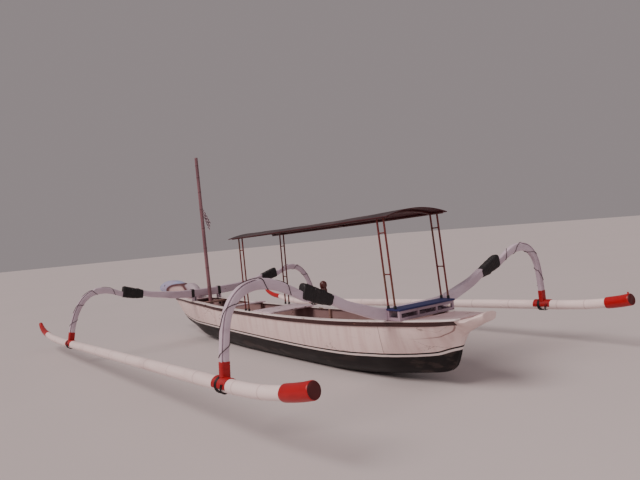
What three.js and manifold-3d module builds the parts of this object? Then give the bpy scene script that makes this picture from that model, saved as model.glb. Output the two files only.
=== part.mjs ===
// A double-outrigger fishing canoe, nearly nine metres long, parked on its flat keel.
// Millimetres. +X runs to the bow, +Y to port and +Z up. The origin is on the flat underside
// of the keel, on the centreline, halfway between the two cross beams.

import * as THREE from 'three';
import { mergeVertices } from 'three/addons/utils/BufferGeometryUtils.js';
import Module from 'manifold-3d';

const wasm = await Module();
wasm.setup();

const gap = 0.3;
const railGap = 0.7;
const port = 1;
const starboard = -1;

// Lines of the hull, each a short table from the stern forward, in x and then the value
const keelLine = [
  [-3717, 762], [-3584, 704], [-3450, 631], [-3363, 561], [-3305, 396], [-3234, 239], [-3131, 171],
  [-2835, 118], [-2351, 60], [-1900, 20], [-1400, 0], [900, 0], [1436, 18], [2100, 36], [2611, 55],
  [2937, 112], [3148, 172], [3636, 300], [3858, 425], [4032, 545], [4195, 668],
];
const sheerLine = [
  [-3717, 856], [-3620, 822], [-3540, 785], [-3216, 762], [-2783, 738], [-2104, 698], [-1297, 668],
  [-336, 652], [523, 656], [1535, 666], [2311, 696], [2923, 710], [3392, 716], [3800, 706], [4195, 686],
];
const breadthLine = [
  [-3717, 108], [-3600, 185], [-3523, 252], [-3226, 340], [-2716, 391], [-1441, 417], [-166, 400],
  [1534, 349], [2724, 281], [3404, 187], [3914, 85], [4195, 26],
];
const stripeLine = [
  [-3717, 480], [-3341, 469], [-3104, 407], [-2761, 372], [-2315, 340], [-1761, 309], [-1156, 301],
  [-414, 307], [727, 326], [1838, 345], [3149, 355], [3750, 396], [4195, 400],
];
// How full the section is, how hollow it is low down, and the share of its breadth that the flat of
// the keel takes
const fullnessLine = [
  [-3717, 3.0], [-3540, 1.9], [-3363, 1.35], [-2800, 1.75], [-1300, 2.4], [1500, 2.2], [2900, 1.6],
  [4195, 1.2],
];
const hollowLine = [
  [-3717, 0.5], [-3540, 1.0], [-3363, 1.5], [-3131, 1.35], [-2835, 0.85], [-2351, 0.5], [2611, 0.5],
  [3148, 0.7], [3858, 0.9], [4195, 0.9],
];
const keelShareLine = [
  [-3717, 0.5], [-3540, 0.25], [-3363, 0.09], [-3131, 0.08], [-2351, 0.17], [-1400, 0.26], [900, 0.26],
  [2100, 0.18], [2937, 0.1], [4195, 0.1],
];

// Stations where the hull and all that follows its side have a section
const stations = [
  -3717, -3600, -3540, -3510, -3363, -3305, -3234, -3131, -2980, -2835, -2600, -2351, -1900, -1400, -700,
  0, 500, 900, 1436, 1800, 2100, 2400, 2611, 2780, 2937, 3148, 3404, 3636, 3858, 4032, 4195,
];
const sideWall = 28;
const floorWall = 46;
const holdAft = -2980;
const holdFore = 3148;
const sternBlockFore = -3131;
const stemBlockAft = 3404;

// Rubrail and gunwale cap
const rubrail = { depth: 50, proud: 17, aft: -3510, fore: 4032 };
const cap = { thick: 17, inboard: 62, overhang: 5, aft: -3510, fore: 3858 };

// Cross beams: centreline from the middle outwards, as y, z, depth and how far it is swept aft of x.
// A beam sits on the gunwale caps through a pair of chocks.
const beamWide = 90;
const beams = {
  aft: {
    x: -2644,
    line: [[0, 820, 139, 0], [240, 821, 138, 0], [400, 826, 136, 0], [490, 836, 132, 3],
      [602, 866, 126, 10], [801, 934, 116, 26], [1018, 1012, 104, 40], [1178, 1096, 98, 46],
      [1350, 1182, 97, 48], [1530, 1268, 96, 48]],
    chock: [330, 394],
  },
  front: {
    x: 2725,
    line: [[0, 861, 141, 0], [283, 866, 139, 0], [560, 878, 130, 0], [841, 918, 116, 0], [1077, 958, 104, 0],
      [1213, 1000, 98, 0], [1370, 1050, 97, 0], [1545, 1108, 96, 0]],
    chock: [216, 286],
  },
};

// Arms from the inner tip under the beam's end, over the crown, down into the float's top, as y, z and
// depth; root and foot are the x of the two ends
const armWide = 60;
const arms = {
  aft: {
    line: [[1190, 1020, 46], [1350, 1091, 80], [1530, 1172, 85], [1668, 1246, 88], [1831, 1318, 98],
      [1939, 1348, 106], [2045, 1357, 108], [2156, 1338, 104], [2240, 1296, 98], [2310, 1232, 92],
      [2362, 1150, 87], [2396, 1050, 85], [2423, 900, 84], [2441, 750, 83], [2453, 545, 82]],
    root: -2692,
    foot: -2714,
  },
  front: {
    line: [[1225, 931, 46], [1380, 966, 80], [1545, 1014, 85], [1640, 1055, 88], [1745, 1098, 96],
      [1850, 1124, 104], [1955, 1130, 108], [2060, 1108, 104], [2150, 1060, 98], [2235, 980, 92],
      [2308, 872, 87], [2370, 735, 85], [2420, 580, 84], [2465, 355, 82]],
    root: 2722,
    foot: 2717,
  },
};

// Floats: centreline of the pole, in x, y, z and radius
const floatLine = [
  [-3800, 2398, 610, 60], [-3600, 2420, 580, 61], [-3300, 2446, 546, 62], [-3000, 2460, 527, 63],
  [-2714, 2465, 516, 65], [-2000, 2465, 491, 65], [-1000, 2465, 456, 64], [0, 2465, 421, 63],
  [1000, 2465, 386, 62],
  [2000, 2465, 351, 61], [2717, 2465, 326, 60], [3400, 2465, 305, 58], [4000, 2465, 305, 55],
  [4400, 2465, 330, 52],
];
const rearCapLine = [[-3966, 2370, 652, 75], [-3820, 2393, 617, 74], [-3640, 2415, 587, 73]];
const frontTipLine = [
  [4400, 2465, 330, 52], [4620, 2465, 352, 49], [4800, 2465, 392, 44], [4920, 2465, 440, 38],
  [5000, 2465, 500, 30],
];
const floatSides = 12;

// The starboard float ends shorter and higher at the front, which grows from one x to the other
const starboardFront = { from: 2900, to: 4400, shorter: 320, higher: 60 };
function floatRows(line, side) {
  if (side === port) return line;
  const { from, to, shorter, higher } = starboardFront;
  return line.map(([x, y, z, radius]) => {
    const share = THREE.MathUtils.clamp((x - from) / (to - from), 0, 1);
    return [x - shorter * share, y, z + higher * share ** 2, radius];
  });
}

// Turns a table of x and value into a smooth function, with straight runs left straight
function curveThrough(table) {
  const slope = (i) => {
    if (i <= 0 || i >= table.length - 1) return null;
    const before = (table[i][1] - table[i - 1][1]) / (table[i][0] - table[i - 1][0]);
    const after = (table[i + 1][1] - table[i][1]) / (table[i + 1][0] - table[i][0]);
    return before * after <= 0 ? 0 : 2 * before * after / (before + after);
  };
  return (x) => {
    const last = table.length - 1;
    if (x <= table[0][0]) return table[0][1];
    if (x >= table[last][0]) return table[last][1];
    const i = table.findIndex((row) => row[0] > x) - 1;
    const step = table[i + 1][0] - table[i][0];
    const t = (x - table[i][0]) / step;
    const chord = (table[i + 1][1] - table[i][1]) / step;
    const m0 = (slope(i) ?? chord) * step;
    const m1 = (slope(i + 1) ?? chord) * step;
    const t2 = t * t;
    const t3 = t2 * t;
    return (2 * t3 - 3 * t2 + 1) * table[i][1] + (t3 - 2 * t2 + t) * m0
      + (3 * t2 - 2 * t3) * table[i + 1][1] + (t3 - t2) * m1;
  };
}

const keelAt = curveThrough(keelLine);
const sheerAt = curveThrough(sheerLine);
const breadthAt = curveThrough(breadthLine);
const stripeAt = curveThrough(stripeLine);
const fullnessAt = curveThrough(fullnessLine);
const keelShareAt = curveThrough(keelShareLine);
const hollowAt = curveThrough(hollowLine);

// Half breadth of the hull's outside at x and height z, or of its inside when walls are given
function sideAt(x, z, wall = 0, floor = 0) {
  const bottom = keelAt(x) + floor;
  const breadth = breadthAt(x) - wall;
  const share = keelShareAt(x);
  const up = Math.min(Math.max((z - bottom) / (sheerAt(x) - bottom), 0), 1);
  return breadth * (share + (1 - share) * (1 - (1 - up) ** fullnessAt(x)) ** hollowAt(x));
}

const point = (x, y, z) => new THREE.Vector3(x, y, z);

// Direction of a closed ring of points, by the areas it casts on the three planes
function ringNormal(ring) {
  const normal = point(0, 0, 0);
  ring.forEach((p, i) => normal.add(p.clone().cross(ring[(i + 1) % ring.length])));
  return normal;
}

// Triangles that close a ring, seen from the side that faces outward
function endFaces(ring, first, outward) {
  const along = ring[1].clone().sub(ring[0]).normalize();
  const normal = outward.clone().normalize();
  along.addScaledVector(normal, -along.dot(normal)).normalize();
  const across = normal.clone().cross(along);
  const flat = ring.map((p) => new THREE.Vector2(p.dot(along), p.dot(across)));
  return THREE.ShapeUtils.triangulateShape(flat, []).flatMap(([a, b, c]) => {
    const turn = flat[b].clone().sub(flat[a]).cross(flat[c].clone().sub(flat[a]));
    return turn > 0 ? [a + first, b + first, c + first] : [a + first, c + first, b + first];
  });
}

// A closed body skinned over rings that all have the same number of points
function skin(rings) {
  const travel = rings[1][0].clone().sub(rings[0][0]);
  const inward = ringNormal(rings[0]).dot(travel) < 0;
  const outRings = inward ? rings.map((ring) => [...ring].reverse()) : rings;
  const count = outRings[0].length;
  const faces = [];
  for (let i = 0; i + 1 < outRings.length; i++) {
    for (let j = 0; j < count; j++) {
      const a = i * count + j;
      const b = i * count + (j + 1) % count;
      faces.push(a, b, b + count, a, b + count, a + count);
    }
  }
  const last = outRings.length - 1;
  faces.push(...endFaces(outRings[0], 0, ringNormal(outRings[0]).negate()));
  faces.push(...endFaces(outRings[last], last * count, ringNormal(outRings[last])));
  const geometry = new THREE.BufferGeometry();
  const positions = outRings.flat().flatMap((p) => [p.x, p.y, p.z]);
  geometry.setAttribute('position', new THREE.Float32BufferAttribute(positions, 3));
  geometry.setIndex(faces);
  return geometry;
}

// Three.js shape to a solid for cutting and joining, and back
function toSolid(geometry) {
  const bare = geometry.clone();
  bare.deleteAttribute('normal');
  bare.deleteAttribute('uv');
  const merged = mergeVertices(bare, 0.001);
  return new wasm.Manifold(new wasm.Mesh({
    numProp: 3,
    vertProperties: new Float32Array(merged.attributes.position.array),
    triVerts: new Uint32Array(merged.index.array),
  }));
}

function toGeometry(solid) {
  const mesh = solid.getMesh();
  const geometry = new THREE.BufferGeometry();
  geometry.setAttribute('position', new THREE.BufferAttribute(mesh.vertProperties, 3));
  geometry.setIndex(new THREE.BufferAttribute(mesh.triVerts, 1));
  return geometry;
}

function block(lowX, highX, lowY, highY, lowZ, highZ) {
  const box = new THREE.BoxGeometry(highX - lowX, highY - lowY, highZ - lowZ);
  return box.translate((lowX + highX) / 2, (lowY + highY) / 2, (lowZ + highZ) / 2);
}

// A round rod between two points
function rod(from, to, radius, sides = 10, farRadius = radius) {
  const length = from.distanceTo(to);
  const shape = new THREE.CylinderGeometry(farRadius, radius, length, sides);
  shape.translate(0, length / 2, 0);
  const ahead = to.clone().sub(from).normalize();
  const turn = new THREE.Quaternion().setFromUnitVectors(point(0, 1, 0), ahead);
  return shape.applyQuaternion(turn).translate(from.x, from.y, from.z);
}

const joined = (...shapes) => toGeometry(shapes.map(toSolid).reduce((whole, piece) => whole.add(piece)));
const cutFrom = (shape, ...cutters) => toGeometry(cutters.map(toSolid)
  .reduce((whole, cutter) => whole.subtract(cutter), toSolid(shape)));

// A bar carried along points that lie in one upright plane, whose section is given at each point as
// corners in the sideways and the upward sense
function sweep(points, sideways, sectionAt) {
  const rings = points.map((p, i) => {
    const before = points[Math.max(i - 1, 0)];
    const after = points[Math.min(i + 1, points.length - 1)];
    const ahead = after.clone().sub(before).normalize();
    const side = sideways.clone().addScaledVector(ahead, -sideways.dot(ahead)).normalize();
    const up = side.clone().cross(ahead).normalize();
    return sectionAt(i).map(([a, b]) => p.clone().addScaledVector(side, a).addScaledVector(up, b));
  });
  return skin(rings);
}

// A squared bar's section with its four edges taken off
function squared(wide, deep, edge = 12) {
  const a = wide / 2;
  const b = deep / 2;
  const e = Math.min(edge, a / 2, b / 2);
  return [
    [a, b - e], [a - e, b], [e - a, b], [-a, b - e], [-a, e - b], [e - a, -b], [a - e, -b], [a, e - b],
  ];
}

function round(radius, sides = floatSides) {
  return Array.from({ length: sides }, (_, i) => {
    const turn = 2 * Math.PI * (i + 0.5) / sides;
    return [radius * Math.cos(turn), radius * Math.sin(turn)];
  });
}

const paints = {
  white: ['#dcd6e2', 0.45, 0],
  black: ['#16110f', 0.5, 0],
  brown: ['#2f1512', 0.5, 0],
  red: ['#a3141a', 0.5, 0],
  rubber: ['#120f10', 0.8, 0],
  rust: ['#7a2b22', 0.6, 0.2],
  roof: ['#3a2c30', 0.7, 0],
  navy: ['#1d2c5a', 0.6, 0],
  cream: ['#c79f86', 0.6, 0],
  pole: ['#9c5a62', 0.6, 0],
  blue: ['#b9c4e4', 0.5, 0],
};

const canoe = new THREE.Group();

function addPiece(name, geometry, paint) {
  const [color, roughness, metalness] = paints[paint];
  const mesh = new THREE.Mesh(geometry, new THREE.MeshStandardMaterial({ color, roughness, metalness }));
  mesh.name = name;
  canoe.add(mesh);
}

// Outside of the whole hull, closed flat at the sheer
const levelsUnderRail = [1, 0.76, 0.55, 0.37, 0.22, 0.1, 0.03, 0];
function hullRing(x, wall = 0, floor = 0, top = 0) {
  const bottom = keelAt(x) + floor;
  const sheer = sheerAt(x);
  const railFoot = Math.max(sheer - rubrail.depth, bottom + 0.5 * (sheer - bottom));
  const heights = [sheer, ...levelsUnderRail.map((up) => bottom + up * (railFoot - bottom))];
  const side = heights.map((z) => [sideAt(x, z, wall, floor), z]);
  if (top > 0) side.unshift([side[0][0], sheer + top]);
  const across = side.map(([y, z]) => point(x, y, z));
  return [...across, ...[...side].reverse().map(([y, z]) => point(x, -y, z))];
}

// A slab that follows a line seen from the side, as wide as the boat and more
function sideSlab(line, rise, fall) {
  const reach = 600;
  return skin(stations.map((x) => [
    point(x, reach, line(x) + rise), point(x, -reach, line(x) + rise),
    point(x, -reach, line(x) - fall), point(x, reach, line(x) - fall),
  ]));
}

// Dugout below the stripe, planks above it, and the solid stern and stem blocks
function addHull() {
  const outside = toSolid(skin(stations.map((x) => hullRing(x))));
  const holdStations = stations.filter((x) => x >= holdAft && x <= holdFore);
  const hold = toSolid(skin(holdStations.map((x) => hullRing(x, sideWall, floorWall, 40))));
  const shell = outside.subtract(hold);
  const tall = 1200;
  const below = toSolid(sideSlab(stripeAt, -gap / 2, tall));
  const above = toSolid(sideSlab(stripeAt, tall, -gap / 2));
  const far = 6000;
  const upper = shell.intersect(above);
  const between = (solid, aft, fore, right, left) => toGeometry(
    solid.intersect(toSolid(block(aft, fore, right, left, -far, far))),
  );
  const [plankAft, plankFore] = [sternBlockFore + gap, stemBlockAft - gap];
  addPiece('dugout', toGeometry(shell.intersect(below)), 'black');
  addPiece('stern_block', between(upper, -far, sternBlockFore, -far, far), 'white');
  addPiece('stem_block', between(upper, stemBlockAft, far, -far, far), 'white');
  addPiece('side_plank_port', between(upper, plankAft, plankFore, gap, far), 'white');
  addPiece('side_plank_starboard', between(upper, plankAft, plankFore, -far, -gap), 'white');
}

// Dark rail along the outside of the sheer and the white cap on top of plank and rail
function addRails(side, word) {
  const sunk = 6;
  const railStations = stations.filter((x) => x >= rubrail.aft && x <= rubrail.fore);
  const rail = skin(railStations.map((x) => {
    const high = sheerAt(x);
    const low = high - rubrail.depth;
    const [inHigh, inLow] = [sideAt(x, high), sideAt(x, low)];
    return [
      point(x, side * (inHigh - sunk), high), point(x, side * (inHigh + rubrail.proud), high),
      point(x, side * (inLow + rubrail.proud), low), point(x, side * (inLow - sunk), low),
    ];
  }));
  const sideOfHull = skin(stations.map((x) => hullRing(x, -railGap, 0, 1)));
  addPiece(`rubrail_${word}`, cutFrom(rail, sideOfHull), 'brown');
  const capStations = stations.filter((x) => x >= cap.aft && x <= cap.fore);
  addPiece(`gunwale_cap_${word}`, skin(capStations.map((x) => {
    const low = sheerAt(x) + gap;
    const outer = breadthAt(x) + rubrail.proud + cap.overhang;
    const inner = breadthAt(x) - cap.inboard;
    return [
      point(x, side * inner, low), point(x, side * outer, low),
      point(x, side * outer, low + cap.thick), point(x, side * inner, low + cap.thick),
    ];
  })), 'white');
}

// Points of a beam or an arm
function beamPoints(beam) {
  const half = (side) => beam.line.map(([y, z, , back]) => point(beam.x - back, side * y, z));
  return [...half(starboard).reverse(), ...half(port).slice(1)];
}

const beamDepths = (beam) => [...[...beam.line].reverse(), ...beam.line.slice(1)].map((row) => row[2]);

function armPoints(arm, side) {
  const [first, last] = [arm.line[0][0], arm.line[arm.line.length - 1][0]];
  return arm.line.map(([y, z]) => point(
    THREE.MathUtils.mapLinear(y, first, last, arm.root, arm.foot), side * y, z,
  ));
}

// The same points with both ends moved out a little
function lengthened(points, by) {
  const last = points.length - 1;
  const longer = points.map((p) => p.clone());
  longer[0].addScaledVector(points[0].clone().sub(points[1]).normalize(), by);
  longer[last].addScaledVector(points[last].clone().sub(points[last - 1]).normalize(), by);
  return longer;
}

function beamShape(beam, grow = 0) {
  const depths = beamDepths(beam);
  const points = lengthened(beamPoints(beam), grow);
  const section = (i) => squared(beamWide + 2 * grow, depths[i] + 2 * grow, 16);
  return sweep(points, point(1, 0, 0), section);
}

function armShape(arm, side, grow = 0) {
  const points = lengthened(armPoints(arm, side), grow);
  const section = (i) => squared(armWide + 2 * grow, arm.line[i][2] + 2 * grow, 14);
  return sweep(points, point(1, 0, 0), section);
}

// Rubber binding round the beam's end and the arm's root; solid here, hollowed for both below
const lashing = { inner: 1210, outer: 1495, steps: 4, thick: 7 };
function lashingBlock(beam, arm, side, grow = 0) {
  const column = (line, k) => curveThrough(line.map((row) => [row[0], row[k]]));
  const [beamAt, beamDeep, beamBack] = [1, 2, 3].map((k) => column(beam.line, k));
  const [armAt, armDeep] = [1, 2].map((k) => column(arm.line, k));
  const rows = Array.from({ length: lashing.steps + 1 }, (_, i) => {
    const y = THREE.MathUtils.lerp(lashing.inner, lashing.outer, i / lashing.steps);
    const onArm = Math.max(y, arm.line[0][0]);
    const high = beamAt(y) + beamDeep(y) / 2;
    const low = armAt(onArm) - armDeep(onArm) / 2;
    return { x: beam.x - beamBack(y), y, middle: (high + low) / 2, deep: high - low };
  });
  const thick = lashing.thick + grow;
  return sweep(
    rows.map(({ x, y, middle }) => point(x, side * y, middle)),
    point(1, 0, 0),
    (i) => squared(beamWide + 2 * thick, rows[i].deep + 2 * thick, 34),
  );
}

function lashingShape(beam, arm, side) {
  return cutFrom(
    lashingBlock(beam, arm, side), beamShape(beam, binding.clear), armShape(arm, side, binding.clear),
  );
}

// A beam with the two chocks that seat it on the gunwale caps
function beamPiece(beam) {
  const half = beamWide / 2;
  const capTop = Math.max(sheerAt(beam.x - half), sheerAt(beam.x + half)) + cap.thick + 2 * gap;
  const chocks = [port, starboard].map((side) => {
    const [low, high] = beam.chock.map((y) => side * y).sort((a, b) => a - b);
    return block(beam.x - half + 8, beam.x + half - 8, low, high, capTop, beam.line[1][1]);
  });
  return joined(beamShape(beam), ...chocks);
}

function addCrossings() {
  for (const [end, beam] of Object.entries(beams)) {
    addPiece(`cross_beam_${end}`, beamPiece(beam), 'white');
    for (const [side, word] of [[port, 'port'], [starboard, 'starboard']]) {
      addPiece(`arm_${end}_${word}`, armPiece(end, side), 'white');
      addPiece(`beam_lashing_${end}_${word}`, lashingShape(beam, arms[end], side), 'rubber');
    }
  }
}

// Floats: a long pole, a red cup over its rear end and a red tip turned up at the front
function poleShape(line, side, grow = 0) {
  const rows = floatRows(line, side);
  const points = lengthened(rows.map(([x, y, z]) => point(x, side * y, z)), grow);
  return sweep(points, point(0, 1, 0), (i) => round(rows[i][3] + grow));
}

function addFloats(side, word) {
  const clear = poleShape(floatLine, side, gap);
  addPiece(`float_${word}`, poleShape(floatLine, side), 'white');
  addPiece(`float_cap_rear_${word}`, cutFrom(poleShape(rearCapLine, side), clear), 'red');
  addPiece(`float_tip_front_${word}`, cutFrom(poleShape(frontTipLine, side), clear), 'red');
}

// An arm, its root scarfed to the beam's underside and its foot hollowed to sit on the float
function armPiece(end, side) {
  const whole = armShape(arms[end], side);
  return cutFrom(whole, beamShape(beams[end], gap), poleShape(floatLine, side, gap));
}

// Where an arm's centreline stands at a height of its lower leg
function legAt(arm, side, z) {
  const rows = arm.line.slice(-6).reverse().map(([y, height]) => [height, y]);
  const y = curveThrough(rows)(z);
  const [first, last] = [arm.line[0][0], arm.line[arm.line.length - 1][0]];
  return point(THREE.MathUtils.mapLinear(y, first, last, arm.root, arm.foot), side * y, z);
}

// Red binding: a cuff round the float and a shank up the arm's foot, wrapped as one
const binding = { reach: 128, cuff: 9, shank: 6, shankTop: { aft: 700, front: 510 }, clear: 0.5 };
function addFootBinding(end, side, word) {
  const arm = arms[end];
  const poleZ = curveThrough(floatLine.map(([x, , z]) => [x, z]));
  const poleY = curveThrough(floatLine.map(([x, y]) => [x, y]));
  const poleRadius = curveThrough(floatLine.map(([x, , , radius]) => [x, radius]))(arm.foot);
  const middle = poleZ(arm.foot);
  const cuffPoints = [-binding.reach, 0, binding.reach]
    .map((along) => arm.foot + along)
    .map((x) => point(x, side * poleY(x), poleZ(x)));
  const cuff = sweep(cuffPoints, point(0, 1, 0), () => round(poleRadius + binding.cuff));
  const top = binding.shankTop[end];
  const shankPoints = [top, (top + middle + poleRadius) / 2, middle + poleRadius * 0.6]
    .map((z) => legAt(arm, side, z));
  const footDepth = arm.line[arm.line.length - 1][2];
  const shank = sweep(shankPoints, point(1, 0, 0), () => squared(
    armWide + 2 * binding.shank, footDepth + 2 * binding.shank, 16,
  ));
  addPiece(`foot_binding_${end}_${word}`, cutFrom(
    joined(cuff, shank),
    armShape(arm, side, binding.clear),
    poleShape(floatLine, side, binding.clear),
  ), 'red');
}

// Roof: a cambered sheet on two long rails and three curved ribs, carried by four ladder posts.
// Its line gives x, the height of the ridge and the camber at the sheet's widest, straight in between.
// The sheet and the rails come closer together towards the bow.
const roofLine = [[-2862, 1968, 71], [-1200, 1904, 56], [830, 1868, 80]];
const roof = {
  half: { aft: 480, fore: 440 }, rail: { aft: 428, fore: 374 }, railHalf: 13,
  sheet: 9, under: 24, railShort: 20, steps: 5,
};
function alongRoof(x, { aft, fore }) {
  return THREE.MathUtils.mapLinear(x, roofLine[0][0], roofLine[2][0], aft, fore);
}
const roofStations = roofLine.slice(1).flatMap(([to], i) => Array.from(
  { length: roof.steps }, (_, k) => THREE.MathUtils.lerp(roofLine[i][0], to, k / roof.steps),
)).concat(roofLine[2][0]);
function roofAt(x, y) {
  const [from, to] = x < roofLine[1][0] ? roofLine.slice(0, 2) : roofLine.slice(1);
  const [ridge, camber] = [1, 2].map((k) => THREE.MathUtils.mapLinear(x, from[0], to[0], from[k], to[k]));
  return ridge - camber * (y / roof.half.aft) ** 2;
}
const roofRibs = { rear: -2660, middle: -1050, front: 510 };
const ribHalf = 13;

function archRing(x, from, to, steps, top, deep) {
  const across = Array.from({ length: steps + 1 }, (_, i) => from + (to - from) * i / steps);
  const upper = across.map((y) => point(x, y, roofAt(x, y) - top));
  return [...upper, ...across.reverse().map((y) => point(x, y, roofAt(x, y) - top - deep))];
}

// Section of a roof rail at x, from the given depth under the roof's outside
function railRing(x, side, top, deep) {
  const middle = alongRoof(x, roof.rail);
  return archRing(x, side * (middle - roof.railHalf), side * (middle + roof.railHalf), 1, top, deep);
}

function addRoof() {
  const [aft, fore] = [roofLine[0][0], roofLine[2][0]];
  addPiece('roof_sheet', skin(roofStations
    .map((x) => archRing(x, -alongRoof(x, roof.half), alongRoof(x, roof.half), 16, 0, roof.sheet))), 'roof');
  const top = roof.sheet + railGap;
  for (const [side, word] of [[port, 'port'], [starboard, 'starboard']]) {
    const railRings = [aft + roof.railShort, ...roofStations.slice(1, -1), fore - roof.railShort]
      .map((x) => railRing(x, side, top, roof.under));
    addPiece(`roof_rail_${word}`, skin(railRings), 'brown');
  }
  for (const [word, x] of Object.entries(roofRibs)) {
    const reach = alongRoof(x + ribHalf, roof.rail) - roof.railHalf - gap;
    const ribRings = [x - ribHalf, x + ribHalf]
      .map((place) => archRing(place, -reach, reach, 12, top, roof.under));
    addPiece(`roof_rib_${word}`, skin(ribRings), 'brown');
  }
}

// Ladder posts: two tubes side by side with two rungs
const tube = { radius: 11, apart: 106, sides: 8 };
const posts = {
  rear: { foot: [-2764, 427], head: [-2697, 426], rungs: [0.16, 0.62] },
  front: { foot: [539, 368], head: [547, 378], rungs: [0.16, 0.6] },
};
const bench = { aft: -2885, fore: -2692, half: 437, top: 888, board: 20, post: 30 };

function addPost(place, side, word) {
  const { foot, head, rungs } = posts[place];
  const capTop = sheerAt(foot[0] + tube.apart / 2 + tube.radius) + cap.thick + gap;
  const seat = (place === 'rear' ? bench.top : capTop) + gap;
  const over = 15;
  const tubes = [-1, 1].map((way) => {
    const x = head[0] + way * tube.apart / 2;
    const underRail = roofAt(x, head[1]) - roof.sheet - roof.under;
    return [
      point(foot[0] + way * tube.apart / 2, side * foot[1], seat - over),
      point(x, side * head[1], underRail + over),
    ];
  });
  const rungShapes = rungs.map((down) => {
    const [a, b] = tubes.map(([low, high]) => high.clone().lerp(low, down));
    return rod(a, b, 7, 6);
  });
  const shapes = tubes.map(([low, high]) => rod(low, high, tube.radius, tube.sides));
  const ground = block(foot[0] - 200, foot[0] + 200, -600, 600, seat - 100, seat);
  const ceiling = skin([head[0] - 150, head[0] + 150]
    .map((x) => railRing(x, side, roof.sheet, roof.under + railGap + gap)));
  const whole = joined(...shapes, ...rungShapes);
  addPiece(`ladder_post_${place}_${word}`, cutFrom(whole, ground, ceiling), 'rust');
}

// Bench: an open frame of squared timber across the gunwales, with a dark board on it
function addBench() {
  const { aft, fore, half, top, board, post } = bench;
  const low = sheerAt(aft) + cap.thick + 2 * gap;
  const frameTop = top - board - gap;
  const long = [aft, fore - post].flatMap((x) => [
    block(x, x + post, -half, half, low, low + post),
    block(x, x + post, -half, half, frameTop - post, frameTop),
  ]);
  const legs = [-half, -half / 3 - post / 2, half / 3 - post / 2, half - post].flatMap((y) => [
    block(aft, aft + post, y, y + post, low, frameTop),
    block(fore - post, fore, y, y + post, low, frameTop),
    block(aft, fore, y, y + post, low, low + post),
  ]);
  addPiece('bench_frame', joined(...long, ...legs), 'white');
  addPiece('bench_top', block(aft - 12, fore, -half - 8, half + 8, top - board, top), 'navy');
}

// What is shaped to the inside of the hull, given as the block it is sawn from
function fittedInside(shape) {
  const inside = stations.map((x) => hullRing(x, sideWall + railGap, floorWall + gap, 40));
  return toSolid(shape).intersect(toSolid(skin(inside)));
}

const floorTop = 105;
const floorHalf = 150;
const frames = { 1: -1700, 2: -600, 3: 1250 };
function addInside() {
  const frameWide = 36;
  const frameDeep = 34;
  const hollow = toSolid(skin(stations.filter((x) => x > -2700 && x < 2900)
    .map((x) => hullRing(x, sideWall + frameDeep, floorTop - keelAt(x), 60))))
    .add(toSolid(block(-2700, 2900, -floorHalf - gap, floorHalf + gap, floorTop, 900)));
  for (const [number, x] of Object.entries(frames)) {
    const shape = block(x - frameWide / 2, x + frameWide / 2, -500, 500, -50, sheerAt(x) - gap);
    addPiece(`hull_frame_${number}`, toGeometry(fittedInside(shape).subtract(hollow)), 'cream');
  }
  addPiece('floor_boards', toGeometry(fittedInside(
    block(-2000, 1300, -floorHalf, floorHalf, floorTop + gap, floorTop + 18),
  )), 'cream');
}

// Boards laid across the gunwales: two side by side amidships and one nearer the bow
const boards = { 1: [-170, 80], 2: [88, 340], 3: [1190, 1330] };
function addBoards() {
  const thick = 22;
  for (const [number, [from, to]] of Object.entries(boards)) {
    const low = Math.max(sheerAt(from), sheerAt(to)) + cap.thick + 2 * gap;
    const half = Math.min(breadthAt(from), breadthAt(to)) - 6;
    addPiece(`deck_board_${number}`, block(from, to, -half, half, low, low + thick), 'white');
  }
}

// Decks between the caps at both ends
function addDecks() {
  const deck = (from, to) => skin(stations.filter((x) => x >= from && x <= to).map((x) => {
    const low = sheerAt(x) + gap;
    const high = low + cap.thick;
    const half = breadthAt(x) - cap.inboard - gap;
    return [point(x, -half, low), point(x, half, low), point(x, half, high), point(x, -half, high)];
  }));
  addPiece('aft_deck', deck(cap.aft, holdAft), 'white');
  addPiece('fore_deck', deck(2937, cap.fore), 'white');
}

// Mast, stepped on the floor and held by a thwart just aft of the front beam
const mast = { footX: 2555, topX: 2650, topZ: 3365, low: 36, high: 29 };
const stepTop = 150;
function mastShape(grow = 0) {
  const foot = point(mast.footX, 0, stepTop - 8);
  return rod(foot, point(mast.topX, 0, mast.topZ), mast.low + grow, 12, mast.high + grow);
}

function addMast() {
  const foot = point(mast.footX, 0, stepTop + gap);
  const heel = block(foot.x - 200, foot.x + 200, -200, 200, 0, foot.z);
  addPiece('mast', cutFrom(mastShape(), heel), 'pole');
  addPiece('mast_step', toGeometry(fittedInside(
    block(foot.x - 90, foot.x + 90, -70, 70, 0, stepTop),
  )), 'cream');
  const thwartTop = sheerAt(foot.x) - 12;
  const thwart = fittedInside(block(foot.x - 60, foot.x + 80, -500, 500, thwartTop - 28, thwartTop));
  addPiece('mast_thwart', toGeometry(thwart.subtract(toSolid(mastShape(railGap)))), 'cream');
}

// Small flag, hanging furled from the mast
function addFlag() {
  const top = 2415;
  const drop = 440;
  const wide = [8, 25, 57, 99, 94, 69];
  const away = point(-0.6, -0.8, 0);
  const thick = 14;
  const mastX = (z) => THREE.MathUtils.mapLinear(z, stepTop, mast.topZ, mast.footX, mast.topX);
  const rings = wide.map((reach, i) => {
    const z = top - drop * i / (wide.length - 1);
    const start = point(mastX(z), 0, z).addScaledVector(away, 12);
    const end = start.clone().addScaledVector(away, mast.low + reach);
    const across = point(0.8, -0.6, 0).multiplyScalar(thick / 2);
    return [[start, 1], [end, 1], [end, -1], [start, -1]]
      .map(([place, way]) => place.clone().addScaledVector(across, way));
  });
  addPiece('flag', cutFrom(skin(rings), mastShape(gap)), 'white');
}

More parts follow.
